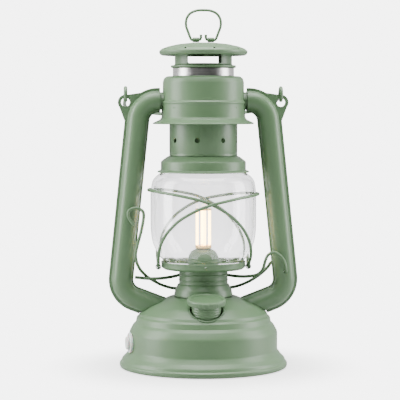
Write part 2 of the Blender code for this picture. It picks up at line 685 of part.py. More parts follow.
def hood_outline():
    """Outer line of the hood cap from its rolled edge to its middle."""
    rim, top = HOOD_RADIUS, HOOD_TOP_Z
    return [(rim - 2.1, top - 10.1), (rim - 0.7, top - 9.2), (rim, top - 7.6), (rim - 0.3, top - 6.5),
            (rim - 2.3, top - 4.8), (rim - 7.3, top - 3.0), (rim - 15.3, top - 1.2),
            (rim - 25.3, top - 0.2), (2.0, top)]


def build_crown():
    """Crown with its two draught windows, and the hood cap over it."""
    wall_top = outline_height(hood_outline(), CROWN_RADIUS) - HOOD_WALL - GAP - 0.1
    flange = CROWN_RADIUS + CROWN_FLANGE
    crown = [(flange, CROWN_Z), (flange, CROWN_Z + 1.1), (CROWN_RADIUS + 0.6, CROWN_Z + 1.8),
             (CROWN_RADIUS, CROWN_Z + 3.0), (CROWN_RADIUS, wall_top)]
    inner = CROWN_RADIUS - CROWN_WALL
    profile = crown + [(inner, wall_top), (inner, CROWN_Z)]
    piece = turned("crown", profile, "green paint")
    half = WINDOW_WIDTH / 2.0
    window = box_bmesh((-half, -flange - 2.0, CROWN_Z + 3.4), (half, flange + 2.0, wall_top - 4.0))
    boolean(piece, make_cutter("cut_window", window))

    centre = HOOD_TOP_Z
    outline = hood_outline()
    cap = turned("hood_cap", [(0.0, centre)] + list(reversed(outline)) + inset_line(outline, HOOD_WALL)
                 + [(0.0, centre - HOOD_WALL)], "green paint")
    return [piece, cap]


def outline_height(outline, radius):
    """Height of a falling outline at a radius, between its own points."""
    for (r0, z0), (r1, z1) in zip(outline, outline[1:]):
        if r1 <= radius <= r0:
            return z0 + (z1 - z0) * (r0 - radius) / (r0 - r1)
    return outline[-1][1]


def build_carrying_ring(hood):
    """Two lugs on the hood cap and the wire ring that folds in them."""
    lugs = []
    for name, side in (("left", -1.0), ("right", 1.0)):
        middle = side * (LUG_INNER_X + LUG_LENGTH / 2.0)
        profile = tube_profile(LUG_RADIUS, RING_WIRE_RADIUS + 0.35, -LUG_LENGTH / 2.0, LUG_LENGTH / 2.0)
        matrix = Matrix.Translation((middle, 0.0, LUG_Z)) @ turn_to((1, 0, 0))
        lugs.append(turned(f"ring_lug_{name}", profile, "green paint", SMALL_SEGMENTS, matrix))
    hang_on(hood, lugs)
    out = LUG_INNER_X + LUG_LENGTH
    wide, tall = RING_HALF_WIDTH, RING_HEIGHT
    half = [(LUG_INNER_X - 1.4, 4.2), (LUG_INNER_X - 1.4, 1.6), (LUG_INNER_X - 0.6, 0.3),
            (LUG_INNER_X + 0.8, 0.0), (out, 0.0), (out + 1.4, 0.8), (wide - 2.0, 5.8),
            (wide - 0.2, 11.2), (wide - 0.6, 16.6), (wide - 3.4, 20.8), (wide - 8.4, 23.1)]
    route = [Vector((x, 0.0, LUG_Z + z)) for x, z in half]
    route.append(Vector((0.0, 0.0, LUG_Z + tall)))
    route += [Vector((-x, 0.0, LUG_Z + z)) for x, z in reversed(half)]
    ring = wire("hood_ring", smooth_route(route, 4.0), RING_WIRE_RADIUS, "green paint")
    hang_on(joint_empty("hood_ring_axis", (0.0, 0.0, LUG_Z)), [ring])


def build_windshield():
    """Windshield round the chimney, held by the side tubes, and the spring inside it."""
    low = WINDSHIELD_Z
    radius = WINDSHIELD_RADIUS
    mouth = SLEEVE_RADIUS + RUN
    outer = [(radius + 8.1, low), (radius + 1.0, low + 4.0), (radius + 0.8, low + 15.9),
             (radius + 1.4, low + 16.7), (radius, low + 17.7), (radius, low + 32.7),
             (radius - 0.9, low + 35.7), (radius - 3.1, low + 37.3), (mouth, WINDSHIELD_TOP_Z)]
    shield = turned("windshield", shell_profile(outer, WINDSHIELD_WALL), "green paint")
    for name, side in (("left", -1.0), ("right", 1.0)):
        hole = oval_bmesh(FERRULE_HALF_HEIGHT + GAP, FERRULE_HALF_WIDTH + GAP, 12.0)
        place = ferrule_matrix(side, radius)
        boolean(shield, make_cutter(f"cut_shield_{name}", hole, place))
        ferrule = oval_bmesh(FERRULE_HALF_HEIGHT, FERRULE_HALF_WIDTH, 3.7)
        piece = add_object(f"upper_ferrule_{name}", ferrule, "green paint",
                           ferrule_matrix(side, TUBE_END_X - GAP - 1.85))
        bore = oval_bmesh(FERRULE_HALF_HEIGHT - 1.0, FERRULE_HALF_WIDTH - 1.0, 8.0)
        boolean(piece, make_cutter(f"cut_ferrule_{name}", bore, ferrule_matrix(side, radius)))
    spring_radius = (SLEEVE_RADIUS + radius - WINDSHIELD_WALL) / 2.0
    spring_low = CHIMNEY_TOP_Z + GAP + SPRING_WIRE_RADIUS + 0.4
    spring_high = WINDSHIELD_TOP_Z - WINDSHIELD_WALL - SPRING_WIRE_RADIUS - 1.4
    steps = 12 * SPRING_TURNS
    coil = []
    for index in range(steps + 1):
        turn = math.tau * SPRING_TURNS * index / steps
        height = spring_low + (spring_high - spring_low) * index / steps
        coil.append(Vector((spring_radius * math.cos(turn), spring_radius * math.sin(turn), height)))
    wire("hood_spring", coil, SPRING_WIRE_RADIUS, "steel")


def oval_bmesh(half_height, half_width, length):
    """Solid oval bar along Z, half_height along X and half_width along Y."""
    bm = turned_bmesh(disc_profile(1.0, -length / 2.0, length / 2.0), 24)
    bm.transform(Matrix.Diagonal((half_height, half_width, 1.0, 1.0)))
    return bm


def ferrule_matrix(side, distance):
    """Frame of a tube's upper end: +Z runs outwards, and X up."""
    return Matrix.Translation((side * distance, 0.0, TUBE_TOP_Z)) @ Matrix.Rotation(
        side * math.pi / 2.0, 4, "Y")


# ---------------------------------------------------------------- side tubes

def tube_centreline():
    """Stations (x, z, normal x, normal z) of the right tube from the windshield to the tank."""
    corners = [Vector((TUBE_END_X, TUBE_TOP_Z)), Vector((TUBE_HIGH_X, TUBE_TOP_Z)),
               Vector((TUBE_LOW_X, TUBE_LOW_Z))]
    corners.append(Vector((TUBE_LOW_X - TUBE_ARM_LENGTH, TUBE_LOW_Z - TUBE_ARM_LENGTH * TUBE_ARM_FALL)))
    stations = []

    def station(point, along):
        stations.append((point, Vector((-along.y, along.x)).normalized()))

    station(corners[0], (corners[1] - corners[0]).normalized())
    for before, corner, after in zip(corners, corners[1:], corners[2:]):
        along_in = (corner - before).normalized()
        along_out = (after - corner).normalized()
        turn = along_in.angle(along_out)
        tangent = TUBE_BEND * math.tan(turn / 2.0)
        start = corner - along_in * tangent
        inward = Vector((along_in.y, -along_in.x))
        centre = start + inward * TUBE_BEND
        steps = 5
        for index in range(steps + 1):
            angle = turn * index / steps
            spoke = -inward * math.cos(angle) + along_in * math.sin(angle)
            stations.append((centre + spoke * TUBE_BEND, spoke))
    station(corners[-1], (corners[-1] - corners[-2]).normalized())
    return stations


def half_section():
    """Closed section of one pressed half, as (outward, depth) with a flange on each edge."""
    shape = ((-0.9, 0.46), (-0.56, 0.85), (0.06, 1.0), (0.56, 0.85), (0.9, 0.46))
    seam = GAP / 2.0
    sheet = seam + FLANGE_THICKNESS
    half, depth = TUBE_HALF_WIDTH, TUBE_HALF_DEPTH
    outer = [(-half - FLANGE_IN, seam), (-half - FLANGE_IN, sheet), (-half, sheet)]
    outer += [(half * across, depth * deep) for across, deep in shape]
    outer += [(half, sheet), (half + FLANGE_OUT, sheet), (half + FLANGE_OUT, seam)]
    share_across = (half - TUBE_WALL) / half
    share_deep = (depth - TUBE_WALL) / depth
    inner = [(half - TUBE_WALL, seam)]
    inner += [(half * across * share_across, depth * deep * share_deep) for across, deep in reversed(shape)]
    inner += [(-half + TUBE_WALL, seam)]
    return outer + inner


def half_tube_bmesh(side, face):
    """One half of a side tube: side +1 is the right, face -1 is the front half."""
    bm = bmesh.new()
    rings = []
    for point, normal in tube_centreline():
        ring = []
        for outward, depth in half_section():
            place = point + normal * outward
            ring.append(bm.verts.new((side * place.x, face * depth, place.y)))
        rings.append(ring)
    for ring, following in zip(rings, rings[1:]):
        for index in range(len(ring)):
            nearby = (index + 1) % len(ring)
            bm.faces.new((ring[index], ring[nearby], following[nearby], following[index]))
    bm.faces.new(rings[0])
    bm.faces.new(rings[-1])
    return bm


def ear_bmesh(side, face):
    """Lobe of the seam flange that holds the bail's eye."""
    fall = math.atan2(TUBE_TOP_Z - TUBE_LOW_Z, TUBE_LOW_X - TUBE_HIGH_X)
    bend = Vector((TUBE_HIGH_X - TUBE_BEND * math.tan(fall / 2.0), TUBE_TOP_Z - TUBE_BEND))
    inner = TUBE_BEND + TUBE_HALF_WIDTH + 0.6
    outline = []
    for degrees in (66.0, 50.0, 34.0, 18.0, 2.0):
        turn = math.radians(degrees)
        outline.append(bend + Vector((math.cos(turn), math.sin(turn))) * inner)
    outline.append(Vector((TUBE_HIGH_X + 12.2, TUBE_TOP_Z - 15.6)))
    ear = Vector((EAR_X, EAR_Z))
    for degrees in range(-38, 103, 20):
        turn = math.radians(degrees)
        outline.append(ear + Vector((math.cos(turn), math.sin(turn))) * EAR_RADIUS)
    outline.append(Vector((TUBE_HIGH_X - 0.4, TUBE_TOP_Z + 6.6)))
    bm = bmesh.new()
    low = GAP / 2.0 + 0.05
    verts = [bm.verts.new((side * point.x, face * low, point.y)) for point in outline]
    sheet = bm.faces.new(verts)
    grown = bmesh.ops.extrude_face_region(bm, geom=[sheet])
    moved = [item for item in grown["geom"] if isinstance(item, bmesh.types.BMVert)]
    bmesh.ops.translate(bm, verts=moved, vec=(0.0, face * (FLANGE_THICKNESS + 0.1), 0.0))
    return bm


def build_side_tubes(spread_block):
    """Two side tubes, each pressed as a front and a back half."""
    for name, side in (("left", -1.0), ("right", 1.0)):
        hole = round_cutter(f"cut_ear_{name}", (side * EAR_X, 0.0, EAR_Z), (0, 1, 0), EAR_HOLE_RADIUS, 6.0)
        for half_name, face in (("front", -1.0), ("back", 1.0)):
            tag = f"{name}_{half_name}"
            half = add_object(f"side_tube_{tag}", half_tube_bmesh(side, face), "green paint")
            boolean(half, make_cutter(f"join_ear_{tag}", ear_bmesh(side, face)), "UNION", "MANIFOLD")
            boolean(half, hole)
            boolean(half, spread_block)
            if side > 0.0:
                place = (LEVER_PIVOT_X, face * TUBE_HALF_DEPTH, LEVER_PIVOT_Z)
                pivot = round_cutter(f"cut_pivot_{tag}", place, (0, 1, 0), LEVER_WIRE_RADIUS + 0.45, 6.0, 12)
                boolean(half, pivot)


# ---------------------------------------------------------------- bail and lever

def build_bail():
    """Carrying bail, folded back behind the lantern, hooked through both ears."""
    along = Vector((0.0, math.cos(BAIL_DROOP), -math.sin(BAIL_DROOP)))
    across = Vector((0.0, math.sin(BAIL_DROOP), math.cos(BAIL_DROOP)))
    pivot = Vector((0.0, 0.0, BAIL_PIVOT_Z))

    def place(x, u, w):
        return pivot + Vector((x, 0.0, 0.0)) + along * u + across * w

    eye = []
    for degrees in range(335, 35, -30):
        turn = math.radians(degrees)
        eye.append((BAIL_EYE_RADIUS * math.cos(turn), BAIL_EYE_RADIUS * math.sin(turn)))
    eye += [(5.6, 2.4), (9.0, 0.6), (14.0, 0.0), (36.0, 0.0)]
    side = [place(-EAR_X, u, w) for u, w in eye]
    arch = []
    steps = 12
    for index in range(steps + 1):
        turn = math.pi * index / steps
        arch.append(place(-EAR_X * math.cos(turn), BAIL_SIDE + EAR_X * math.sin(turn), 0.0))
    mirrored = [place(EAR_X, u, w) for u, w in reversed(eye)]
    route = smooth_route(side + arch + mirrored, 14.0)
    bail = wire("bail", route, BAIL_WIRE_RADIUS, "green paint")
    hang_on(joint_empty("bail_swing_axis", pivot), [bail])


def lever_place(x, y, z):
    """A point of the lever's own layout, moved with the tank, the burner neck and the tubes."""
    stretch = LEVER_PIVOT_X / LEVER_DRAWN_X
    return Vector((x * stretch, y * stretch, z + LEVER_PIVOT_Z - LEVER_DRAWN_Z))


def build_lever():
    """Lifting lever: a handle wire and a fork wire that pivot in the right tube."""
    handle = [
        (-56.0, -12.0, 114.7), (-58.7, -12.0, 118.8), (-60.4, -12.0, 123.0), (-59.2, -12.0, 126.6),
        (-54.3, -12.0, 128.3), (-49.2, -12.0, 126.2), (-48.0, -12.0, 121.7), (-49.7, -12.0, 111.4),
        (-53.0, -12.0, 98.9), (-54.5, -12.0, 91.0), (-53.2, -9.8, 84.0), (-50.5, -4.0, 78.5),
        (-47.5, 1.0, 74.8), (-44.5, 3.8, 71.8), (-38.0, 8.0, 67.5), (-32.2, 13.0, 64.2),
        (-22.9, 21.0, 60.9), (-10.0, 26.3, 59.8), (0.0, 27.4, 59.6), (10.0, 26.3, 59.8),
        (22.7, 21.0, 61.1), (30.7, 16.0, 63.5), (38.8, 12.5, 67.5), (46.8, 11.8, 72.8),
        (52.9, 11.8, 78.5), (55.5, 12.4, 82.0), (60.0, 13.0, 84.0), (64.2, 13.0, 81.6),
        (65.4, 11.6, 77.4), (65.4, 9.6, 77.2), (65.4, 7.2, 77.2),
    ]
    fork = [
        (-54.6, 3.0, 71.8), (-50.0, 1.6, 71.5), (-45.0, -1.0, 71.2), (-36.0, 0.5, 71.0),
        (-28.0, 6.0, 71.3), (-20.0, 14.0, 72.0), (-12.0, 20.5, 74.0), (0.0, 23.5, 76.6),
        (12.0, 20.5, 74.5), (20.0, 14.0, 72.3), (28.7, 7.0, 71.7), (36.0, 1.0, 72.3),
        (42.8, -5.0, 74.2), (46.8, -9.0, 78.7), (48.9, -11.8, 86.5), (50.9, -12.6, 90.5),
        (54.9, -13.0, 92.7), (59.7, -13.0, 90.5), (62.9, -13.0, 86.8), (64.8, -12.8, 82.0),
        (65.4, -11.6, 77.6), (65.4, -9.6, 77.2), (65.4, -7.2, 77.2),
    ]
    pieces = []
    for name, points in (("lift_lever_wire", handle), ("lift_fork_wire", fork)):
        route = smooth_route([lever_place(*point) for point in points], 9.0)
        pieces.append(wire(name, route, LEVER_WIRE_RADIUS, "green paint"))
    hang_on(joint_empty("lift_lever_axis", (LEVER_PIVOT_X, 0.0, LEVER_PIVOT_Z)), pieces)


def main():
    """Build the whole lantern."""
    clear_scene()
    block = tank_block("tank_block", 0.0)
    spread_block = tank_block("tank_block_spread", GAP)
    build_tank(spread_block, block)
    build_burner()
    build_globe_carrier()
    build_hood()
    build_windshield()
    build_side_tubes(spread_block)
    build_bail()
    build_lever()


main()
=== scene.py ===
"""Looks of a camping lantern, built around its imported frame.

Sizes are in millimetres and become metres when a mesh is made. +Z is up and -Y is the front.
"""

import logging
import math
from collections.abc import Sequence
from dataclasses import dataclass, field
from enum import Enum
from typing import ClassVar

import bmesh
import bpy
from mathutils import Matrix, Vector


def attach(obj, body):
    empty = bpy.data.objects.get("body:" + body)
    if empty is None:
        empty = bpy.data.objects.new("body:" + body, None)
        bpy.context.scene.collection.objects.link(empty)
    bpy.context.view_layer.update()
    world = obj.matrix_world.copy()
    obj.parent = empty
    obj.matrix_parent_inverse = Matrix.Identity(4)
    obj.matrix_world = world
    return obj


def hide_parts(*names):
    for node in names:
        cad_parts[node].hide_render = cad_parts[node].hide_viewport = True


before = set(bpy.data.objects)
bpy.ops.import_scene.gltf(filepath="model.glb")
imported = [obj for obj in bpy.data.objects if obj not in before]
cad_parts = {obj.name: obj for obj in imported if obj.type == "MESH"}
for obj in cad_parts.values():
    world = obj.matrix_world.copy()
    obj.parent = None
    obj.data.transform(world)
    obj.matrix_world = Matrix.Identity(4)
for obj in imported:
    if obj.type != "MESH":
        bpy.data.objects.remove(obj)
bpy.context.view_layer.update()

MM = 0.001
WELD = 0.0005
GAP = 0.3
SHARP_ANGLE = math.radians(32.0)
SPECK_CONTRAST = 14.0
LOG = logging.getLogger("lantern")

Colour = tuple[float, float, float]
Corner = tuple[float, float, float]
Groups = dict[str, bpy.types.NodeTree]
Shape = bmesh.types.BMesh
Socket = bpy.types.NodeSocket


class Body(Enum):
    """Bodies of the frame that the pieces ride on."""

    ROOT = "root"
    KNOB = "knob"
    PLUG = "plug"
    LEVER = "lever"
    CARRIER = "globe_carrier"
    HOOD = "hood"
    RING = "ring"
    BAIL = "bail"


class Side(Enum):
    """Left and right of the lantern, as the sign of X."""

    LEFT = -1.0
    RIGHT = 1.0


class Face(Enum):
    """Front and back of the lantern, as the sign of Y."""

    FRONT = -1.0
    BACK = 1.0


class Slot(Enum):
    """Material slots of the record."""

    PAINT = "paint"
    ZINC = "zinc"
    STEEL = "steel"
    BRASS = "brass"
    GLASS = "glass"
    FILAMENT = "filament"
    BLACK_PLASTIC = "black_plastic"
    SILICONE = "silicone"
    CIRCUIT_BOARD = "circuit_board"
    CELL_WRAP = "cell_wrap"


# ---------------------------------------------------------------- shader groups

def new_group(name: str, inputs: dict[str, float], outputs: Sequence[str]) -> bpy.types.NodeTree:
    """Make a shader node group with number inputs and named outputs.

    Args:
        name: Name of the group.
        inputs: Input names with their default values.
        outputs: Names of the value outputs.

    Returns:
        The group, with its Group Input and Group Output nodes named "in" and "out".
    """
    group = bpy.data.node_groups.new(name, "ShaderNodeTree")
    for label, value in inputs.items():
        socket = group.interface.new_socket(label, in_out="INPUT", socket_type="NodeSocketFloat")
        socket.default_value = value
    for label in outputs:
        group.interface.new_socket(label, in_out="OUTPUT", socket_type="NodeSocketFloat")
    group.nodes.new("NodeGroupInput").name = "in"
    group.nodes.new("NodeGroupOutput").name = "out"
    return group


def feed(tree: bpy.types.NodeTree, node: bpy.types.Node, inputs: dict[str | int, object]) -> None:
    """Link sockets to a node's inputs, and set the others to plain values.

    Args:
        tree: Node tree that holds the node.
        node: The node.
        inputs: Sockets or values by the names or numbers of the node's inputs.
    """
    for label, value in inputs.items():
        if isinstance(value, bpy.types.NodeSocket):
            tree.links.new(value, node.inputs[label])
        else:
            node.inputs[label].default_value = value


def add_node(tree: bpy.types.NodeTree, kind: str, inputs: dict[str | int, object] | None = None,
             **settings: object) -> bpy.types.Node:
    """Add a shader node.

    Args:
        tree: Node tree to add to.
        kind: The node's type, without its ShaderNode prefix.
        inputs: Sockets or values for its inputs.
        settings: Values of its own properties.

    Returns:
        The node.
    """
    node = tree.nodes.new(f"ShaderNode{kind}")
    for name, value in settings.items():
        setattr(node, name, value)
    feed(tree, node, inputs or {})
    return node


def add_math(tree: bpy.types.NodeTree, operation: str, first: object, second: object) -> Socket:
    """Add a Math node fed by sockets or numbers, and hand back its output."""
    return add_node(tree, "Math", {0: first, 1: second}, operation=operation).outputs[0]


def add_place(tree: bpy.types.NodeTree) -> Socket:
    """Add the Object coordinates of a piece."""
    return add_node(tree, "TexCoord").outputs["Object"]


def build_surface_group() -> bpy.types.NodeTree:
    """Group with the fine height, the slow tone and the specks of a finished surface."""
    group = new_group("surface_variation",
                      {"Peel Scale": 900.0, "Tone Scale": 22.0, "Speck Scale": 420.0, "Speck Size": 0.72},
                      ("Height", "Tone", "Specks"))
    source, target = group.nodes["in"].outputs, group.nodes["out"]
    place = add_place(group)
    peel, tone, speck = (
        add_node(group, "TexNoise", {"Vector": place, "Scale": source[label], "Detail": detail,
                                     "Roughness": roughness}).outputs["Fac"]
        for label, detail, roughness in (("Peel Scale", 2.0, 0.45), ("Tone Scale", 3.0, 0.55),
                                         ("Speck Scale", 1.0, 0.4)))
    above = add_math(group, "SUBTRACT", speck, source["Speck Size"])
    feed(group, target, {"Height": peel, "Tone": tone,
                         "Specks": add_math(group, "MULTIPLY", above, SPECK_CONTRAST)})
    return group


def build_brushed_group() -> bpy.types.NodeTree:
    """Group with the fine streaks of drawn or rolled sheet, which run round the lantern's axis."""
    group = new_group("drawn_streaks", {"Scale": 30.0, "Stretch": 40.0}, ("Streaks",))
    source = group.nodes["in"].outputs
    split = add_node(group, "SeparateXYZ", {0: add_place(group)}).outputs
    tall = add_math(group, "MULTIPLY", split["Z"], source["Stretch"])
    joined = add_node(group, "CombineXYZ", {"X": split["X"], "Y": split["Y"], "Z": tall})
    noise = add_node(group, "TexNoise", {"Vector": joined.outputs[0], "Scale": source["Scale"], "Detail": 3.0})
    feed(group, group.nodes["out"], {"Streaks": noise.outputs["Fac"]})
    return group


# ---------------------------------------------------------------- finishes

@dataclass(frozen=True)
class Finish:
    """A solid finish whose colour, roughness and relief vary a little over the surface."""

    name: str
    slot: Slot
    colour: Colour
    shade: Colour
    roughness: float = 0.35
    roughness_spread: float = 0.06
    metallic: float = 0.0
    coat: float = 0.0
    coat_roughness: float = 0.24
    peel_scale: float = 900.0
    tone_scale: float = 22.0
    relief: float = 0.05
    relief_depth: float = 0.00002
    speck: float = 0.0
    streaks: float = 0.0
    emission: float = 0.0
    translucency: float = 0.0
    scatter_scale: float = 0.002
    tone_low: float = 0.32
    tone_high: float = 0.68
    speck_shade: float = 0.55

    def build(self, groups: Groups) -> bpy.types.Material:
        """Make the material.

        Args:
            groups: The shared node groups by name.

        Returns:
            The material.
        """
        material = bpy.data.materials.new(self.name)
        material.use_nodes = True
        tree = material.node_tree
        surface = add_node(tree, "Group", node_tree=groups["surface"])
        feed(tree, surface, {"Peel Scale": self.peel_scale, "Tone Scale": self.tone_scale})
        tone = surface.outputs["Tone"]
        if self.streaks:
            brushed = add_node(tree, "Group", node_tree=groups["brushed"])
            both = add_math(tree, "MULTIPLY", brushed.outputs["Streaks"], self.streaks)
            tone = add_math(tree, "ADD", add_math(tree, "MULTIPLY", tone, 1.0 - self.streaks), both)
        spread = add_node(tree, "MapRange", {"Value": tone, "To Min": self.roughness - self.roughness_spread,
                                             "To Max": self.roughness + self.roughness_spread})
        bump = add_node(tree, "Bump", {"Strength": self.relief, "Distance": self.relief_depth,
                                       "Height": surface.outputs["Height"]})
        looks = {"Base Color": self.blend(tree, surface, tone), "Roughness": spread.outputs[0],
                 "Normal": bump.outputs["Normal"], "Metallic": self.metallic, "Coat Weight": self.coat,
                 "Coat Roughness": self.coat_roughness}
        if self.translucency:
            looks |= {"Subsurface Weight": self.translucency, "Subsurface Scale": self.scatter_scale}
        if self.emission:
            looks |= {"Emission Color": (*self.colour, 1.0), "Emission Strength": self.emission}
        feed(tree, tree.nodes["Principled BSDF"], looks)
        return material

    def blend(self, tree: bpy.types.NodeTree, surface: bpy.types.Node, tone: Socket) -> Socket:
        """Blend the finish's two colours by its tone, and lay fine specks over them.

        Args:
            tree: The material's nodes.
            surface: Its surface variation group.
            tone: Socket with the slow tone.

        Returns:
            Socket with the colour.
        """
        ramp = add_node(tree, "ValToRGB", {"Fac": tone})
        stops = ((self.tone_low, self.shade), (self.tone_high, self.colour))
        for stop, (position, colour) in zip(ramp.color_ramp.elements, stops):
            stop.position, stop.color = position, (*colour, 1.0)
        if not self.speck:
            return ramp.outputs["Color"]
        factor = add_math(tree, "MULTIPLY", surface.outputs["Specks"], self.speck)
        dark = (*[value * self.speck_shade for value in self.shade], 1.0)
        return add_node(tree, "Mix", {"Factor": factor, "A": ramp.outputs["Color"], "B": dark},
                        data_type="RGBA", clamp_factor=True).outputs["Result"]


@dataclass(frozen=True)
class ClearGlass:
    """Clear blown glass with a faint cool tone and a few slow waves."""

    name: str = "blown_glass"
    slot: Slot = Slot.GLASS
    colour: Colour = (0.955, 0.95, 0.965)
    wave_scale: float = 14.0
    wave: float = 0.06
    wave_depth: float = 0.0005
    ior: float = 1.47

    def build(self, groups: Groups) -> bpy.types.Material:
        """Make the material, which lets lamps shine through onto what is inside.

        Args:
            groups: The shared node groups by name.

        Returns:
            The material.
        """
        material = bpy.data.materials.new(self.name)
        material.use_nodes = True
        tree = material.node_tree
        shader = tree.nodes["Principled BSDF"]
        tint = (*self.colour, 1.0)
        surface = add_node(tree, "Group", node_tree=groups["surface"])
        feed(tree, surface, {"Tone Scale": self.wave_scale})
        bump = add_node(tree, "Bump", {"Strength": self.wave, "Distance": self.wave_depth,
                                       "Height": surface.outputs["Tone"]})
        feed(tree, shader, {"Base Color": tint, "Transmission Weight": 1.0, "Roughness": 0.0, "IOR": self.ior,
                            "Normal": bump.outputs["Normal"]})
        path = add_node(tree, "LightPath")
        clear = add_node(tree, "BsdfTransparent", {"Color": tint})
        mix = add_node(tree, "MixShader", {0: path.outputs["Is Shadow Ray"], 1: shader.outputs[0],
                                           2: clear.outputs[0]})
        feed(tree, tree.nodes["Material Output"], {"Surface": mix.outputs[0]})
        return material


POWDER_COAT = Finish("sage_powder_coat", Slot.PAINT, (0.098, 0.178, 0.086), (0.088, 0.162, 0.077),
                     roughness=0.44, coat=0.15, relief=0.10, speck=0.10)
# Darker copy of the sage coat for the base plate under the tank: painted shade.
PAINTED_SHADE_COAT = Finish("sage_coat_painted_shade", Slot.PAINT, (0.085, 0.15, 0.075), (0.07, 0.13, 0.06),
                     roughness=0.5, relief=0.16, speck=0.25)
ZINC_SHEET = Finish("zinc_sheet", Slot.ZINC, (0.66, 0.655, 0.64), (0.46, 0.455, 0.45), roughness=0.3,
                    roughness_spread=0.1, metallic=1.0, tone_scale=160.0, streaks=0.55, relief=0.1)
BRIGHT_STEEL = Finish("bright_steel", Slot.STEEL, (0.58, 0.58, 0.57), (0.42, 0.42, 0.41), roughness=0.3,
                      metallic=1.0, streaks=0.6, tone_scale=90.0)
SATIN_BRASS = Finish("satin_brass", Slot.BRASS, (0.72, 0.5, 0.2), (0.55, 0.36, 0.13), roughness=0.34,
                     metallic=1.0, tone_scale=120.0)
GLOWING_ROD = Finish("glowing_rod", Slot.FILAMENT, (1.0, 0.66, 0.22), (1.0, 0.6, 0.18), roughness=0.5,
                     emission=22.0)
MOULDED_BLACK = Finish("moulded_black", Slot.BLACK_PLASTIC, (0.035, 0.035, 0.037), (0.022, 0.022, 0.024),
                       roughness=0.48, relief=0.3, peel_scale=1400.0)
WHITE_SILICONE = Finish("white_silicone", Slot.SILICONE, (0.72, 0.75, 0.71), (0.62, 0.66, 0.62),
                        roughness=0.5, translucency=0.3)
BOARD_MASK = Finish("board_mask", Slot.CIRCUIT_BOARD, (0.03, 0.15, 0.075), (0.02, 0.10, 0.05),
                    roughness=0.4, tone_scale=260.0)
CELL_FILM = Finish("cell_film", Slot.CELL_WRAP, (0.05, 0.17, 0.38), (0.04, 0.13, 0.30), roughness=0.3)
GLASS = ClearGlass()
FINISHES = (POWDER_COAT, PAINTED_SHADE_COAT, ZINC_SHEET, BRIGHT_STEEL, SATIN_BRASS, GLOWING_ROD, MOULDED_BLACK,
            WHITE_SILICONE, BOARD_MASK, CELL_FILM, GLASS)


# ---------------------------------------------------------------- modelling tools

def rounded_line(corners: Sequence[Corner], arc_step: float = 13.0) -> list[Vector]:
    """Round the corners of an open (radius, height) line.

    Args:
        corners: Radius, height and fillet radius of each corner.
        arc_step: Degrees between the points of a fillet.

    Returns:
        Points of the line, with an arc at each corner that has a fillet.
    """
    spots = [Vector((r, z)) for r, z, _ in corners]
    line = [spots[0]]
    for index in range(1, len(corners) - 1):
        before, spot, after = spots[index - 1:index + 2]
        come, leave = (spot - before).normalized(), (after - spot).normalized()
        turn = come.angle(leave, 0.0)
        fillet = corners[index][2]
        if fillet <= 0.0 or turn < 0.02:
            line.append(spot)
            continue
        reach = min(fillet * math.tan(turn / 2.0), 0.46 * (spot - before).length, 0.46 * (after - spot).length)
        radius = reach / math.tan(turn / 2.0)
        sign = 1.0 if come.x * leave.y - come.y * leave.x > 0.0 else -1.0
        start = spot - come * reach
        centre = start + Vector((-come.y, come.x)) * sign * radius
        steps = max(2, round(math.degrees(turn) / arc_step))
        for step in range(steps + 1):
            angle = turn * step / steps * sign
            arm = start - centre
            line.append(centre + Vector((arm.x * math.cos(angle) - arm.y * math.sin(angle),
                                         arm.x * math.sin(angle) + arm.y * math.cos(angle))))
    line.append(spots[-1])
    return line


def spin_line(line: Sequence[Vector], steps: int = 128, closed: bool = False) -> Shape:
    """Spin a (radius, height) line round Z.

    Args:
        line: Points of the line.
        steps: Number of steps of the full turn.
        closed: Whether the line's ends are joined.

    Returns:
        The turned surface, facing outwards.
    """
    bm = bmesh.new()
    verts = [bm.verts.new((point.x, 0.0, point.y)) for point in line]
    edges = [bm.edges.new(pair) for pair in zip(verts, verts[1:])]
    if closed:
        edges.append(bm.edges.new((verts[-1], verts[0])))
    bmesh.ops.spin(bm, geom=verts + edges, cent=(0, 0, 0), axis=(0, 0, 1), dvec=(0, 0, 0),
                   angle=math.tau, steps=steps, use_merge=True, use_duplicate=False)
    bmesh.ops.remove_doubles(bm, verts=bm.verts, dist=WELD)
    face_outward(bm)
    return bm


def face_outward(bm: Shape) -> None:
    """Make all faces agree and point away from the middle of the shape."""
    bmesh.ops.recalc_face_normals(bm, faces=bm.faces)
    bm.normal_update()
    if all(edge.is_manifold for edge in bm.edges):
        if bm.calc_volume(signed=True) < 0.0:
            bmesh.ops.reverse_faces(bm, faces=bm.faces)
        return
    heights = [vert.co.z for vert in bm.verts]
    middle = Vector((0.0, 0.0, (min(heights) + max(heights)) / 2.0))
    outward = sum(face.calc_area() * face.normal.dot(face.calc_center_median() - middle) for face in bm.faces)
    if outward < 0.0:
        bmesh.ops.reverse_faces(bm, faces=bm.faces)


def round_bar(radius: float, low: float, high: float, steps: int = 32, ease: float = 0.0) -> Shape:
    """Solid round bar along Z with eased edges."""
    line = rounded_line([(0.0, low, 0.0), (radius, low, ease), (radius, high, ease), (0.0, high, 0.0)], 30.0)
    return spin_line(line, steps)


def ring_bar(outer: float, inner: float, low: float, high: float, steps: int = 64,
             ease: float = 0.25) -> Shape:
    """Tube along Z with eased edges."""
    middle = (low + high) / 2.0
    line = rounded_line([(inner, middle, 0.0), (inner, low, ease), (outer, low, ease), (outer, high, ease),
                         (inner, high, ease), (inner, middle, 0.0)], 30.0)
    return spin_line(line[:-1], steps, closed=True)


def block(low: Sequence[float], high: Sequence[float]) -> Shape:
    """Box between two corners, for cutting."""
    bm = bmesh.new()
    bmesh.ops.create_cube(bm, size=1.0)
    span = Vector(high) - Vector(low)
    bm.transform(Matrix.Translation((Vector(high) + Vector(low)) / 2.0) @ Matrix.Diagonal((*span, 1.0)))
    return bm


def turn_to(axis: Sequence[float]) -> Matrix:
    """Rotation that brings +Z onto an axis."""
    return Vector((0.0, 0.0, 1.0)).rotation_difference(Vector(axis)).to_matrix().to_4x4()


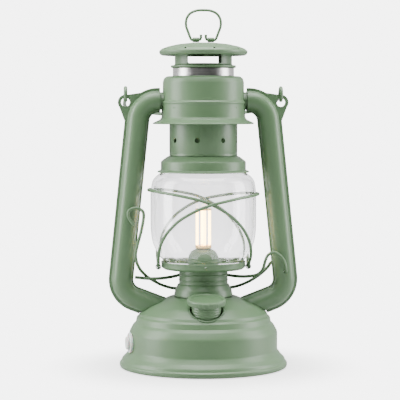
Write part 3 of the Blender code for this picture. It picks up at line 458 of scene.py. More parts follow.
def aimed(place: Sequence[float], axis: Sequence[float]) -> Matrix:
    """Frame at a place whose +Z runs along an axis."""
    return Matrix.Translation(place) @ turn_to(axis)


def placed(bm: Shape, matrix: Matrix) -> Shape:
    """Transform a bmesh and hand it back."""
    bm.transform(matrix)
    return bm


def gather(parts: Sequence[Shape]) -> Shape:
    """Put several separate shapes into one bmesh."""
    whole = bmesh.new()
    for part in parts:
        mesh = bpy.data.meshes.new("part")
        part.to_mesh(mesh)
        part.free()
        whole.from_mesh(mesh)
        bpy.data.meshes.remove(mesh)
    return whole


def smooth_route(points: Sequence[Sequence[float]], step: float, cyclic: bool = False) -> list[Vector]:
    """Points every step or so along a smooth curve through a route's own points.

    Args:
        points: The route's own points.
        step: Wanted distance between the new points.
        cyclic: Whether the route returns to its start.

    Returns:
        The new points.
    """
    route = [Vector(point) for point in points]
    count = len(route)
    result = []
    for index in range(count if cyclic else count - 1):
        p1, p2 = route[index], route[(index + 1) % count]
        p0 = route[index - 1] if cyclic or index > 0 else p1 * 2.0 - p2
        p3 = route[(index + 2) % count] if cyclic or index + 2 < count else p2 * 2.0 - p1
        pieces = max(1, round((p2 - p1).length / step))
        for piece in range(pieces):
            t = piece / pieces
            result.append(0.5 * (2.0 * p1 + (p2 - p0) * t + (2.0 * p0 - 5.0 * p1 + 4.0 * p2 - p3) * t ** 2
                                 + (3.0 * p1 - p0 - 3.0 * p2 + p3) * t ** 3))
    if not cyclic:
        result.append(route[-1])
    return result


def route_frames(points: Sequence[Vector], cyclic: bool = False) -> list[Matrix]:
    """Frames along a route whose Z follows it, turned as little as possible from one to the next."""
    count = len(points)
    frames = []
    basis = None
    for index, point in enumerate(points):
        before = points[index - 1] if cyclic or index > 0 else point
        after = points[(index + 1) % count] if cyclic or index + 1 < count else point
        along = (after - before).normalized()
        if basis is None:
            basis = turn_to(along).to_3x3()
        else:
            basis = (basis @ Vector((0.0, 0.0, 1.0))).rotation_difference(along).to_matrix() @ basis
        frames.append(Matrix.Translation(point) @ basis.to_4x4())
    return frames


def sweep(section: Sequence[Vector], frames: Sequence[Matrix], cyclic: bool = False) -> Shape:
    """Extrude a closed section along a row of frames.

    Args:
        section: Corners of the section in the frames' own X and Y.
        frames: Where the section stands, one after the other.
        cyclic: Whether the last place joins the first.

    Returns:
        The swept solid.
    """
    bm = bmesh.new()
    verts = [bm.verts.new(frames[0] @ Vector((corner.x, corner.y, 0.0))) for corner in section]
    first = [bm.edges.new((vert, verts[(index + 1) % len(verts)])) for index, vert in enumerate(verts)]
    edges = first
    for before, after in zip(frames, frames[1:]):
        grown = bmesh.ops.extrude_edge_only(bm, edges=edges)["geom"]
        moved = {item for item in grown if isinstance(item, bmesh.types.BMVert)}
        edges = [item for item in grown if isinstance(item, bmesh.types.BMEdge)
                 and item.verts[0] in moved and item.verts[1] in moved]
        bmesh.ops.transform(bm, matrix=after @ before.inverted(), verts=list(moved))
    if cyclic:
        bmesh.ops.bridge_loops(bm, edges=first + edges)
    else:
        bmesh.ops.contextual_create(bm, geom=first)
        bmesh.ops.contextual_create(bm, geom=edges)
    face_outward(bm)
    return bm


def round_wire(points: Sequence[Vector], radius: float, cyclic: bool = False,
               sides: int = 14) -> Shape:
    """Round wire along close points."""
    turns = [math.tau * index / sides for index in range(sides)]
    section = [Vector((radius * math.cos(turn), radius * math.sin(turn))) for turn in turns]
    return sweep(section, route_frames(points, cyclic), cyclic)


@dataclass
class Workshop:
    """Turns shapes into finished pieces that ride on the frame."""

    groups: Groups = field(default_factory=dict)
    materials: dict[str, bpy.types.Material] = field(default_factory=dict)
    made: int = 0

    def stock(self) -> None:
        """Build the shared node groups and every finish."""
        self.groups = {"surface": build_surface_group(), "brushed": build_brushed_group()}
        self.materials = {finish.name: finish.build(self.groups) for finish in FINISHES}

    def plain_object(self, name: str, bm: Shape) -> bpy.types.Object:
        """Make an object in metres from a shape in millimetres."""
        bm.transform(Matrix.Scale(MM, 4))
        mesh = bpy.data.meshes.new(name)
        bm.to_mesh(mesh)
        bm.free()
        piece = bpy.data.objects.new(name, mesh)
        bpy.context.scene.collection.objects.link(piece)
        return piece

    def add(self, name: str, bm: Shape, finish: Finish | ClearGlass, body: Body,
            nodes: Sequence[str] = (), wall: float = 0.0, cuts: Sequence[Shape] = (),
            keep: Shape | None = None) -> bpy.types.Object:
        """Finish one piece and set it on its body.

        Args:
            name: The piece's name.
            bm: Its shape in millimetres.
            finish: Its finish.
            body: The body that it rides on.
            nodes: CAD nodes that it stands for.
            wall: Sheet thickness added on the inside, in millimetres.
            cuts: Shapes taken away from it.
            keep: A shape that it is trimmed to.

        Returns:
            The finished piece.
        """
        piece = self.plain_object(name, bm)
        if wall:
            sheet = piece.modifiers.new("sheet", "SOLIDIFY")
            sheet.thickness = wall * MM
            sheet.offset = -1.0
            sheet.use_even_offset = True
        tools = []
        jobs = [("DIFFERENCE", cut) for cut in cuts] + ([("INTERSECT", keep)] if keep else [])
        for operation, shape in jobs:
            tool = self.plain_object("tool", shape)
            cut = piece.modifiers.new("cut", "BOOLEAN")
            cut.operation = operation
            cut.solver = "EXACT"
            cut.object = tool
            tools.append(tool)
        self.settle(piece)
        for tool in tools:
            bpy.data.objects.remove(tool, do_unlink=True)
        piece.data.materials.clear()
        piece.data.materials.append(self.materials[finish.name])
        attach(piece, body.value)
        if nodes:
            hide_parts(*nodes)
        self.made += 1
        LOG.info("made %s on %s", name, body.value)
        return piece

    def settle(self, piece: bpy.types.Object) -> None:
        """Apply a piece's modifiers and shade it smooth up to its sharp edges."""
        if piece.modifiers:
            bpy.context.view_layer.update()
            graph = bpy.context.evaluated_depsgraph_get()
            settled = bpy.data.meshes.new_from_object(piece.evaluated_get(graph))
            piece.modifiers.clear()
            piece.data = settled
        piece.data.shade_smooth()
        piece.data.set_sharp_from_angle(angle=SHARP_ANGLE)

    def dress(self, node: str, finish: Finish) -> None:
        """Give a CAD node that stays in view one of the finishes."""
        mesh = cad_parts[node].data
        mesh.materials.clear()
        mesh.materials.append(self.materials[finish.name])
        LOG.info("dressed %s", node)


# ---------------------------------------------------------------- tank

@dataclass
class Tank:
    """Pressed tank with its rolled foot, stepped dome, filler well and bare parts inside."""

    bare_nodes: ClassVar[dict[Finish, tuple[str, ...]]] = {
        # The base plate under the tank takes the darker copy of the coat, painted shade.
        PAINTED_SHADE_COAT: ("base_plate",),
        MOULDED_BLACK: ("electronics_tray", "dimmer_pot", "filament_cable"),
        CELL_FILM: ("battery_cell",),
        SATIN_BRASS: ("battery_contact_minus", "battery_contact_plus"),
        BOARD_MASK: ("driver_board",),
        BRIGHT_STEEL: ("charge_socket", "pot_shaft", "hood_spring", "base_screw_1", "base_screw_2",
                       "base_screw_3"),
    }
    radius: float = 59.4
    height: float = 57.0
    wall: float = 1.1
    foot_proud: float = 7.8
    step_inset: float = 6.2
    dome_height: float = 14.0
    mouth_radius: float = 20.0
    knob_tilt: float = math.radians(10.0)
    port_turn: float = math.radians(11.0)
    port_height: float = 21.0
    well_bore: float = 14.25
    port_bore: float = 3.9

    def outline(self, spread: float = 0.0) -> list[Vector]:
        """Outer line from the foot bead to the mouth.

        Args:
            spread: Distance that the line is pushed outwards.

        Returns:
            Points of the line from bottom to top.
        """
        wall, edge = self.radius + spread, self.height - self.dome_height + spread
        bead, step = wall + self.foot_proud, wall - self.step_inset
        half = (step + self.mouth_radius) / 2.0
        return rounded_line([
            (bead - 4.8, 0.4, 0.0), (bead - 0.6, 0.6, 1.2), (bead, 1.8, 1.2), (bead, 4.0, 1.2),
            (bead - 1.3, 5.2, 0.5), (bead - 2.0, 7.4, 2.5), (bead - 5.0, 10.4, 3.5), (wall, 14.4, 2.5),
            (wall, edge - 14.2, 5.0), (wall - 2.9, edge - 8.8, 4.0), (step + 1.1, edge - 6.6, 0.8),
            (step + 0.2, edge - 2.6, 1.4), (step - 1.4, edge - 1.2, 1.2), (step - 2.4, edge + 0.9, 1.0),
            (half + 6.6, edge + 6.8, 14.0),
            (half - 4.0, edge + 11.2, 14.0), (self.mouth_radius + 7.0, edge + 13.6, 5.0),
            (self.mouth_radius, self.height + spread, 0.0)])

    def solid(self, spread: float = 0.0) -> Shape:
        """Solid as large as the tank and a spread all round."""
        line = self.outline(spread)
        return spin_line([Vector((0.0, line[0].y))] + line + [Vector((0.0, line[-1].y))], 96)

    def knob_frame(self) -> Matrix:
        """Frame of the dimmer: +Z runs up along the knob's axis from the well's floor."""
        base = Vector((0.0, -(self.radius - self.step_inset - 15.0), self.height - 12.0))
        return Matrix.Translation(base) @ Matrix.Rotation(self.knob_tilt, 4, "X")

    def port_frame(self) -> Matrix:
        """Frame of the charging port: +Z runs outwards along its axis."""
        axis = (-math.cos(self.port_turn), -math.sin(self.port_turn), 0.0)
        return aimed((0.0, 0.0, self.port_height), axis)

    def build(self, shop: Workshop) -> None:
        """Make the tank shell and dress the parts seen below and inside it."""
        cuts = [placed(round_bar(self.well_bore, -5.0, 22.0, 96), self.knob_frame()),
                placed(round_bar(self.port_bore, self.radius - 6.0, self.radius + 6.0, 32),
                       self.port_frame())]
        shop.add("tank_body", spin_line(self.outline(), 160), POWDER_COAT, Body.ROOT, ["tank_shell"],
                 wall=self.wall, cuts=cuts)
        for finish, nodes in self.bare_nodes.items():
            for node in nodes:
                shop.dress(node, finish)


@dataclass
class Dimmer:
    """Filler-cap knob over a threaded neck in its pressed well."""

    tank: Tank
    cup_radius: float = 14.0
    cup_wall: float = 0.9
    neck_radius: float = 11.6
    neck_wall: float = 2.4
    neck_low: float = -0.4
    neck_high: float = 9.8
    thread_ribs: int = 4
    knob_radius: float = 15.0
    knob_low: float = 10.4
    knob_thickness: float = 4.3
    rim_grooves: int = 60

    def well(self) -> Shape:
        """Cup that the neck stands in."""
        floor = self.neck_low - GAP
        line = rounded_line([(3.6, floor, 0.0), (self.cup_radius - self.cup_wall, floor, 1.6),
                             (self.cup_radius - self.cup_wall, 20.0, 0.0), (self.cup_radius, 20.0, 0.0),
                             (self.cup_radius, floor - self.cup_wall, 2.2), (3.6, floor - self.cup_wall, 0.0)])
        return placed(spin_line(line, 96, closed=True), self.tank.knob_frame())

    def neck(self) -> Shape:
        """Neck with rolled thread ribs and a turned-in mouth."""
        outer, inner = self.neck_radius, self.neck_radius - self.neck_wall
        pitch = (self.neck_high - self.neck_low - 2.6) / self.thread_ribs
        corners = [(inner, self.neck_low, 0.0), (outer, self.neck_low, 0.3)]
        for rib in range(self.thread_ribs):
            low = self.neck_low + 1.6 + rib * pitch
            corners += [(outer - 0.45, low, 0.4), (outer, low + 0.5 * pitch, 0.5)]
        corners += [(outer - 0.45, self.neck_high - 1.0, 0.4), (outer - 0.5, self.neck_high, 0.4),
                    (inner, self.neck_high, 0.5), (inner, self.neck_low + 1.0, 0.0)]
        return placed(spin_line(rounded_line(corners, 30.0), 96, closed=True), self.tank.knob_frame())

    def knob(self) -> Shape:
        """Knob with a rolled rim, a dished top and a grip of fine grooves round its edge."""
        low, high, rim = self.knob_low, self.knob_low + self.knob_thickness, self.knob_radius
        line = rounded_line([(0.0, low + 0.5, 0.0), (rim - 2.6, low + 0.5, 0.4), (rim - 2.0, low, 0.3),
                             (rim - 0.3, low, 0.5), (rim, low + 0.9, 0.5), (rim, high - 1.0, 1.0),
                             (rim - 0.9, high, 1.0), (rim - 2.4, high, 0.9), (rim - 3.4, high - 0.9, 0.8),
                             (rim - 9.0, high - 0.6, 5.0), (0.0, high - 0.5, 0.0)])
        bm = spin_line(line, self.rim_grooves * 4)
        for vert in bm.verts:
            reach = math.hypot(vert.co.x, vert.co.y)
            if reach > rim - 0.35 and low + 0.4 < vert.co.z < high - 0.7:
                turn = math.atan2(vert.co.y, vert.co.x)
                pinch = 0.28 * max(0.0, math.cos(turn * self.rim_grooves)) ** 2
                vert.co.xy = vert.co.xy * ((reach - pinch) / reach)
        return placed(bm, self.tank.knob_frame())

    def build(self, shop: Workshop) -> None:
        """Make the well, the neck and the knob."""
        shop.add("dimmer_well", self.well(), POWDER_COAT, Body.ROOT, ["filler_well"], keep=self.tank.solid())
        shop.add("dimmer_neck", self.neck(), POWDER_COAT, Body.ROOT, ["filler_neck"])
        shop.add("dimmer_cap", self.knob(), POWDER_COAT, Body.KNOB, ["dimmer_knob"])


@dataclass
class ChargePort:
    """Silicone ring and plug of the charging port."""

    tank: Tank
    ring_radius: float = 8.2
    ring_bore: float = 3.9
    ring_proud: float = 1.8
    cap_radius: float = 5.2
    cap_thickness: float = 1.9
    stem_radius: float = 3.4
    stem_length: float = 5.0

    def build(self, shop: Workshop) -> None:
        """Make the ring and the plug."""
        face = self.tank.radius + self.ring_proud
        frame_at_port = self.tank.port_frame()
        middle = (self.ring_radius + self.ring_bore) / 2.0
        ring = rounded_line([
            (self.ring_bore, self.tank.radius - 3.0, 0.0), (self.ring_radius, self.tank.radius - 3.0, 0.0),
            (self.ring_radius, face, 1.1), (middle + 0.9, face, 0.2), (middle + 0.6, face - 0.4, 0.2),
            (middle - 0.2, face - 0.4, 0.2), (middle - 0.5, face, 0.2), (self.ring_bore, face, 0.3),
            (self.ring_bore, face - 2.0, 0.0)])
        shop.add("port_surround", placed(spin_line(ring, 72, closed=True), frame_at_port), WHITE_SILICONE,
                 Body.ROOT, ["port_ring"], cuts=[self.tank.solid(GAP)])
        low = face + GAP
        high = low + self.cap_thickness
        plug = rounded_line([
            (0.0, low - self.stem_length, 0.0), (self.stem_radius, low - self.stem_length, 0.6),
            (self.stem_radius, low, 0.2), (self.cap_radius, low, 0.3), (self.cap_radius, high, 0.8),
            (self.cap_radius - 2.0, high, 0.5), (self.cap_radius - 2.4, high - 0.25, 0.3),
            (0.0, high - 0.25, 0.0)])
        shop.add("port_stopper", placed(spin_line(plug, 64), frame_at_port), WHITE_SILICONE, Body.PLUG,
                 ["port_plug"])


# ---------------------------------------------------------------- burner and lamp

@dataclass
class Burner:
    """Neck on the tank, ribbed burner cone and the filament lamp."""

    neck_low: float = 57.4
    neck_height: float = 21.0
    foot_radius: float = 23.4
    top_radius: float = 19.5
    neck_wall: float = 1.0
    cone_radius: float = 13.3
    cone_height: float = 16.0
    lamp_base_height: float = 2.5
    rod_radius: float = 1.1
    rod_length: float = 27.7
    rod_circle: float = 5.1
    rod_count: int = 4
    rod_turn: float = math.radians(8.0)

    def neck(self) -> Shape:
        """Neck with a rolled foot and two pressed beads."""
        low, high = self.neck_low, self.neck_low + self.neck_height
        foot, top = self.foot_radius, self.top_radius
        return spin_line(rounded_line([
            (foot, low, 0.0), (foot, low + 1.2, 1.0), (foot - 0.9, low + 5.2, 1.6), (top + 1.0, low + 9.1, 1.0),
            (top, low + 9.6, 0.6), (top, low + 12.0, 0.5), (top + 0.45, low + 12.7, 0.6),
            (top, low + 13.4, 0.5), (top, low + 16.4, 0.5), (top + 0.45, low + 17.1, 0.6),
            (top, low + 17.8, 0.5), (top, high, 1.2), (5.0, high, 0.0)]), 96)

    def cone(self) -> Shape:
        """Burner cone with stepped bands and a rounded top."""
        low, rim = self.neck_low + self.neck_height + GAP, self.cone_radius
        return spin_line(rounded_line([
            (rim, low, 0.0), (rim, low + 2.6, 0.5), (rim - 0.9, low + 3.1, 0.4), (rim - 0.5, low + 3.9, 0.4),
            (rim - 0.5, low + 6.4, 0.5), (rim - 1.2, low + 7.0, 0.4), (rim - 1.0, low + 7.8, 0.4),
            (rim - 1.4, low + 10.8, 3.0), (rim - 3.6, low + 13.9, 3.0), (rim - 6.4, low + 15.6, 2.0),
            (5.2, low + self.cone_height, 0.0)]), 72)

    def rod_middle(self, index: int) -> Matrix:
        """Place of one rod on the lamp's circle."""
        turn = math.tau * index / self.rod_count + self.rod_turn
        return Matrix.Translation((self.rod_circle * math.cos(turn), self.rod_circle * math.sin(turn), 0.0))

    def build(self, shop: Workshop) -> None:
        """Make the neck, the cone and the lamp."""
        shop.add("neck", self.neck(), POWDER_COAT, Body.ROOT, ["burner_neck"], wall=self.neck_wall)
        shop.add("cone", self.cone(), POWDER_COAT, Body.ROOT, ["burner_cone"], wall=0.8)
        base = self.neck_low + self.neck_height + self.cone_height + 2.0 * GAP
        rim = self.rod_circle + 1.5
        shop.add("lamp_base", round_bar(rim, base, base + self.lamp_base_height, 48, 0.6), SATIN_BRASS,
                 Body.ROOT, ["filament_base"])
        low = base + self.lamp_base_height + GAP
        high = low + self.rod_length
        for index in range(self.rod_count):
            rod = placed(round_bar(self.rod_radius, low, high, 24, 0.4), self.rod_middle(index))
            shop.add(f"glowing_rod_{index + 1}", rod, GLOWING_ROD, Body.ROOT, [f"filament_{index + 1}"])
        shop.add("lamp_crown", round_bar(rim, high + GAP, high + 1.5, 48, 0.4), SATIN_BRASS, Body.ROOT,
                 ["filament_crown"])


# ---------------------------------------------------------------- globe carrier

def radius_at(line: Sequence[Vector], height: float) -> float:
    """Radius of a (radius, height) line at a height, between its own points."""
    for before, after in zip(line, line[1:]):
        if before.y <= height <= after.y:
            return before.x + (after.x - before.x) * (height - before.y) / max(after.y - before.y, WELD)
    return line[0].x if height < line[0].y else line[-1].x


@dataclass
class GlobeCarrier:
    """Collar, glass globe and the two guard wires, which rise together."""

    collar_low: float = 78.8
    collar_radius: float = 33.6
    collar_height: float = 6.2
    collar_wall: float = 0.9
    collar_bore: float = 15.7
    collar_hole: float = 1.15
    collar_hole_rise: float = 3.4
    glass_low: float = 80.2
    glass_height: float = 85.0
    glass_radius: float = 42.2
    foot_radius: float = 30.5
    mouth_radius: float = 31.4
    glass_wall: float = 1.6
    wire_radius: float = 1.2
    wire_rise: float = 61.0
    left_share: float = 0.946
    clip_length: float = 5.0

    def glass_corners(self) -> list[Corner]:
        """Corners of the glass's outer line from its foot to its mouth."""
        foot, belly, mouth = self.foot_radius, self.glass_radius, self.mouth_radius
        low, high = self.glass_low, self.glass_low + self.glass_height
        return [(foot, low, 0.0), (foot + 0.3, low + 4.3, 1.5), (foot + 1.7, low + 5.4, 1.5),
                (belly - 7.6, low + 8.2, 9.0), (belly - 3.4, low + 15.4, 22.0), (belly - 1.2, low + 21.2, 40.0),
                (belly, low + 29.8, 60.0), (belly, high - 23.3, 40.0), (belly - 1.6, high - 15.3, 12.0),
                (belly - 4.6, high - 12.0, 8.0), (mouth + 3.2, high - 9.7, 5.0), (mouth + 0.9, high - 7.8, 4.0),
                (mouth, high - 4.3, 5.0), (mouth, high, 0.0)]

    def glass(self) -> Shape:
        """Glass with fire-polished edges and an even wall."""
        outer = rounded_line(self.glass_corners(), 5.0)
        inner = []
        for index, point in enumerate(outer):
            along = (outer[min(index + 1, len(outer) - 1)] - outer[max(index - 1, 0)]).normalized()
            inner.append(point + Vector((-along.y, along.x)) * self.glass_wall)
        bm = spin_line(outer + inner[::-1], 160, closed=True)
        ends = (outer[0].y, outer[-1].y)
        rims = [edge for edge in bm.edges
                if all(min(abs(vert.co.z - end) for end in ends) < 0.01 for vert in edge.verts)
                and abs(edge.verts[0].co.xy.length - edge.verts[1].co.xy.length) < 0.01]
        bmesh.ops.bevel(bm, geom=rims, offset=0.5, segments=3, profile=0.5, affect="EDGES", material=-1)
        return bm

    def collar(self) -> Shape:
        """Collar whose upper edge is rolled over the wall."""
        low, rim = self.collar_low, self.collar_radius
        high = low + self.collar_height
        return spin_line(rounded_line([
            (self.collar_bore, low, 0.0), (rim - 7.0, low, 0.6), (rim - 6.0, low + 0.35, 0.6),
            (rim - 5.0, low, 0.6), (rim - 2.1, low, 1.0), (rim, low + 1.6, 1.2), (rim, high - 1.5, 0.4),
            (rim + 0.35, high - 0.7, 0.4), (rim, high, 0.4)]), 128)

    def hinge(self) -> tuple[float, float]:
        """Distance from the axis and height of the guard wires' hinge lines."""
        return self.collar_radius + self.wire_radius + 1.3, self.collar_low + 1.8

    def guard(self, side: Side, share: float, outward: float) -> Shape:
        """Loop of one guard wire: up from its hinge, round the glass, and back down behind it.

        Args:
            side: Side of its hinge.
            share: How much of the full rise it reaches.
            outward: How far it stands off where it crosses the other loop.

        Returns:
            The wire.
        """
        rises = ((24.0, 9.0), (34.0, 18.0), (42.0, 26.0), (50.0, 33.0), (61.0, 40.5), (72.0, 46.0),
                 (84.0, 51.0), (96.0, 54.6), (110.0, 57.0), (128.0, 59.2), (150.0, 60.6))
        hinge_x, hinge_z = self.hinge()
        low, stand = hinge_z + 0.5, self.wire_radius + 0.5
        line = [Vector((r, z)) for r, z, _ in self.glass_corners()]
        front = []
        for degrees, rise in rises:
            turn, height = math.radians(degrees), low + rise * share
            belly = max(radius_at(line, height), radius_at(line, height + 5.0), self.collar_radius + 0.9)
            radius = belly + stand + outward * math.exp(-((degrees - 91.0) / 24.0) ** 2)
            front.append(Vector((side.value * radius * math.cos(turn), -radius * math.sin(turn), height)))
        half_clip = self.clip_length / 2.0
        foot = [Vector((side.value * hinge_x, -half_clip, hinge_z)),
                Vector((side.value * (hinge_x + 0.1), -half_clip - 2.2, hinge_z + 0.6)),
                Vector((side.value * (hinge_x + 0.1), -half_clip - 4.4, hinge_z + 3.4))]
        apex = Vector((-side.value * (self.glass_radius + stand), 0.0, low + self.wire_rise * share))
        near = foot + front
        back = [Vector((point.x, -point.y, point.z)) for point in reversed(near)]
        return round_wire(smooth_route(near + [apex] + back, 2.2, cyclic=True), self.wire_radius, cyclic=True)

    def clip(self, side: Side) -> Shape:
        """Rolled clip that a guard wire turns in."""
        hinge_x, hinge_z = self.hinge()
        half = self.clip_length / 2.0 - 0.6
        clip = ring_bar(self.wire_radius + 1.0, self.wire_radius + GAP, -half, half, 32, 0.15)
        return placed(clip, aimed((side.value * hinge_x, 0.0, hinge_z), (0, 1, 0)))

    def build(self, shop: Workshop) -> None:
        """Make the collar, the glass, the guard wires and their clips."""
        front = (0.0, -self.collar_radius + 3.0, self.collar_low + self.collar_hole_rise)
        hole = placed(round_bar(self.collar_hole, 0.0, 6.0, 24), aimed(front, (0, -1, 0)))
        shop.add("collar", self.collar(), POWDER_COAT, Body.CARRIER, ["globe_collar"],
                 wall=self.collar_wall, cuts=[hole])
        shop.add("glass_globe", self.glass(), GLASS, Body.CARRIER, ["globe"])
        for side, share, outward in ((Side.RIGHT, 1.0, 0.0), (Side.LEFT, self.left_share, 2.9)):
            tag = side.name.lower()
            shop.add(f"guard_{tag}", self.guard(side, share, outward), POWDER_COAT, Body.CARRIER,
                     [f"guard_wire_{tag}"])
            shop.add(f"clip_{tag}", self.clip(side), POWDER_COAT, Body.CARRIER, [f"guard_clip_{tag}"])


# ---------------------------------------------------------------- hood

@dataclass
class Hood:
    """Globe cap, chimney, zinc sleeve, crown and hood cap with its two lugs."""

    cap_low: float = 156.3
    cap_radius: float = 34.0
    cap_lip: float = 2.7
    chimney_low: float = 169.7
    chimney_high: float = 204.9
    chimney_radius: float = 27.2
    hole_radius: float = 2.0
    hole_rise: float = 12.2
    hole_count: int = 8
    hole_turn: float = math.radians(-58.5)
    sleeve_radius: float = 24.4
    sleeve_wall: float = 0.7
    sleeve_low: float = 199.9
    sleeve_high: float = 238.9
    crown_low: float = 239.2
    crown_radius: float = 22.8
    crown_flange: float = 3.2
    crown_wall: float = 0.9
    window_width: float = 26.4
    rim_radius: float = 35.3
    top: float = 259.3
    sheet: float = 0.8
    vent_radius: float = 1.0
    vent_circle: float = 33.0
    vent_fall: float = 5.2
    vent_count: int = 9
    vent_turn: float = math.radians(-78.6)
    lug_radius: float = 1.9
    lug_inner: float = 3.4
    lug_length: float = 5.2
    lug_height: float = 261.5
    lug_bore: float = 1.4

    def cap(self) -> Shape:
        """Cap over the globe's mouth, with a rolled lip, a creased shoulder and a short spigot."""
        low, band, lip = self.cap_low, self.cap_radius, self.cap_radius + self.cap_lip
        tube, joint = self.chimney_radius, self.chimney_low - GAP
        return spin_line(rounded_line([
            (lip, low, 0.0), (lip - 0.2, low + 0.9, 0.7), (band, low + 1.8, 0.9),
            (band, low + 8.4, 1.4), (band - 1.4, low + 9.6, 1.4), (tube + 2.2, low + 12.0, 2.0),
            (tube, joint, 0.0), (tube - 1.4, joint, 0.0), (tube - 1.4, self.chimney_low + 2.2, 0.0)]), 144)

    def chimney(self) -> Shape:
        """Chimney with a rolled foot and a shoulder that meets the sleeve."""
        rim, low, high = self.chimney_radius, self.chimney_low, self.chimney_high
        return spin_line(rounded_line([
            (rim, low, 0.0), (rim, low + 1.2, 0.0), (rim - 0.25, low + 1.8, 0.0), (rim, low + 2.6, 0.0),
            (rim, high - 1.2, 1.2), (rim - 1.0, high, 1.0), (self.sleeve_radius + 0.3, high, 0.0)]), 144)

    def air_holes(self) -> list[Shape]:
        """Cutters of the holes round the chimney."""
        cutters = []
        for index in range(self.hole_count):
            turn = math.tau * index / self.hole_count + self.hole_turn
            axis = Vector((math.cos(turn), math.sin(turn), 0.0))
            place = aimed((0.0, 0.0, self.chimney_low + self.hole_rise), axis)
            cutters.append(placed(round_bar(self.hole_radius, self.chimney_radius - 4.0,
                                            self.chimney_radius + 4.0, 32), place))
        return cutters

    def rim_line(self) -> list[Vector]:
        """Outer line of the hood cap from its rolled edge to its middle."""
        rim, top = self.rim_radius, self.top
        return rounded_line([
            (rim - 2.1, top - 10.1, 0.0), (rim - 0.7, top - 9.2, 1.2), (rim, top - 7.6, 1.4),
            (rim - 0.3, top - 6.5, 1.2), (rim - 2.3, top - 4.8, 3.0), (rim - 7.3, top - 3.0, 12.0),
            (rim - 15.3, top - 1.2, 30.0), (rim - 25.3, top - 0.2, 30.0), (2.0, top, 0.0), (0.0, top, 0.0)])

    def crown(self, shop: Workshop) -> None:
        """Make the crown with its two draught windows."""
        flange, rim, low = self.crown_radius + self.crown_flange, self.crown_radius, self.crown_low
        high = self.top - 3.15
        inner = rim - self.crown_wall
        line = rounded_line([
            (inner, low + 1.0, 0.0), (inner, low, 0.3), (flange - 0.6, low, 0.4), (flange, low + 0.9, 0.5),
            (flange, low + 2.0, 0.5), (rim + 0.5, low + 2.3, 0.6), (rim, low + 3.1, 0.8), (rim, high, 0.2),
            (inner, high, 0.2), (inner, low + 1.0, 0.0)])
        half = self.window_width / 2.0
        window = block((-half, -flange - 2.0, low + 3.4), (half, flange + 2.0, high - 4.0))
        upright = [edge for edge in window.edges
                   if abs(edge.verts[0].co.y - edge.verts[1].co.y) > flange]
        bmesh.ops.bevel(window, geom=upright, offset=1.2, segments=4, profile=0.5, affect="EDGES", material=-1)
        shop.add("crown_ring", spin_line(line[:-1], 128, closed=True), POWDER_COAT, Body.HOOD, ["crown"],
                 cuts=[window])

    def build(self, shop: Workshop) -> None:
        """Make every piece of the hood."""
        shop.add("cap", self.cap(), POWDER_COAT, Body.HOOD, ["globe_cap"], wall=0.9)
        shop.add("chimney", self.chimney(), POWDER_COAT, Body.HOOD, ["chimney_tube"], wall=0.8,
                 cuts=self.air_holes())
        sleeve = ring_bar(self.sleeve_radius, self.sleeve_radius - self.sleeve_wall, self.sleeve_low,
                          self.sleeve_high, 144, 0.15)
        shop.add("sleeve", sleeve, ZINC_SHEET, Body.HOOD, ["inner_sleeve"])
        self.crown(shop)
        vents = []
        for index in range(self.vent_count):
            turn = math.tau * index / self.vent_count + self.vent_turn
            axis = Vector((math.cos(turn), math.sin(turn), 1.1))
            place = Vector((self.vent_circle * axis.x, self.vent_circle * axis.y, self.top - self.vent_fall))
            vents.append(placed(round_bar(self.vent_radius, -2.5, 2.5, 20), aimed(place, axis)))
        shop.add("hood_top", spin_line(self.rim_line(), 160), POWDER_COAT, Body.HOOD, ["hood_cap"],
                 wall=self.sheet, cuts=vents)
        for side in Side:
            half = self.lug_length / 2.0
            lug = ring_bar(self.lug_radius, self.lug_bore, -half, half, 40, 0.2)
            middle = Vector((side.value * (self.lug_inner + half), 0.0, self.lug_height))
            tag = side.name.lower()
            shop.add(f"lug_{tag}", placed(lug, aimed(middle, (1, 0, 0))), POWDER_COAT,
                     Body.HOOD, [f"ring_lug_{tag}"])


@dataclass
class CarryingRing:
    """Wire ring that folds in the hood's lugs."""

    hood: Hood
    wire_radius: float = 1.05
    half_width: float = 14.0
    height: float = 23.5

    def build(self, shop: Workshop) -> None:
        """Bend the ring from one wire."""
        inner, out, wide = self.hood.lug_inner, self.hood.lug_inner + self.hood.lug_length, self.half_width
        half = [(inner - 1.4, 4.2), (inner - 1.4, 1.6), (inner - 0.6, 0.3), (inner + 0.8, 0.0), (out, 0.0),
                (out + 1.4, 0.8), (wide - 2.0, 5.8), (wide - 0.2, 11.2), (wide - 0.6, 16.6), (wide - 3.4, 20.8),
                (wide - 8.4, 23.1)]
        base = self.hood.lug_height
        route = [Vector((x, 0.0, base + z)) for x, z in half]
        route.append(Vector((0.0, 0.0, base + self.height)))
        route += [Vector((-x, 0.0, base + z)) for x, z in reversed(half)]
        shop.add("ring_wire", round_wire(smooth_route(route, 1.0), self.wire_radius), POWDER_COAT, Body.RING,
                 ["hood_ring"])


# ---------------------------------------------------------------- windshield and side tubes

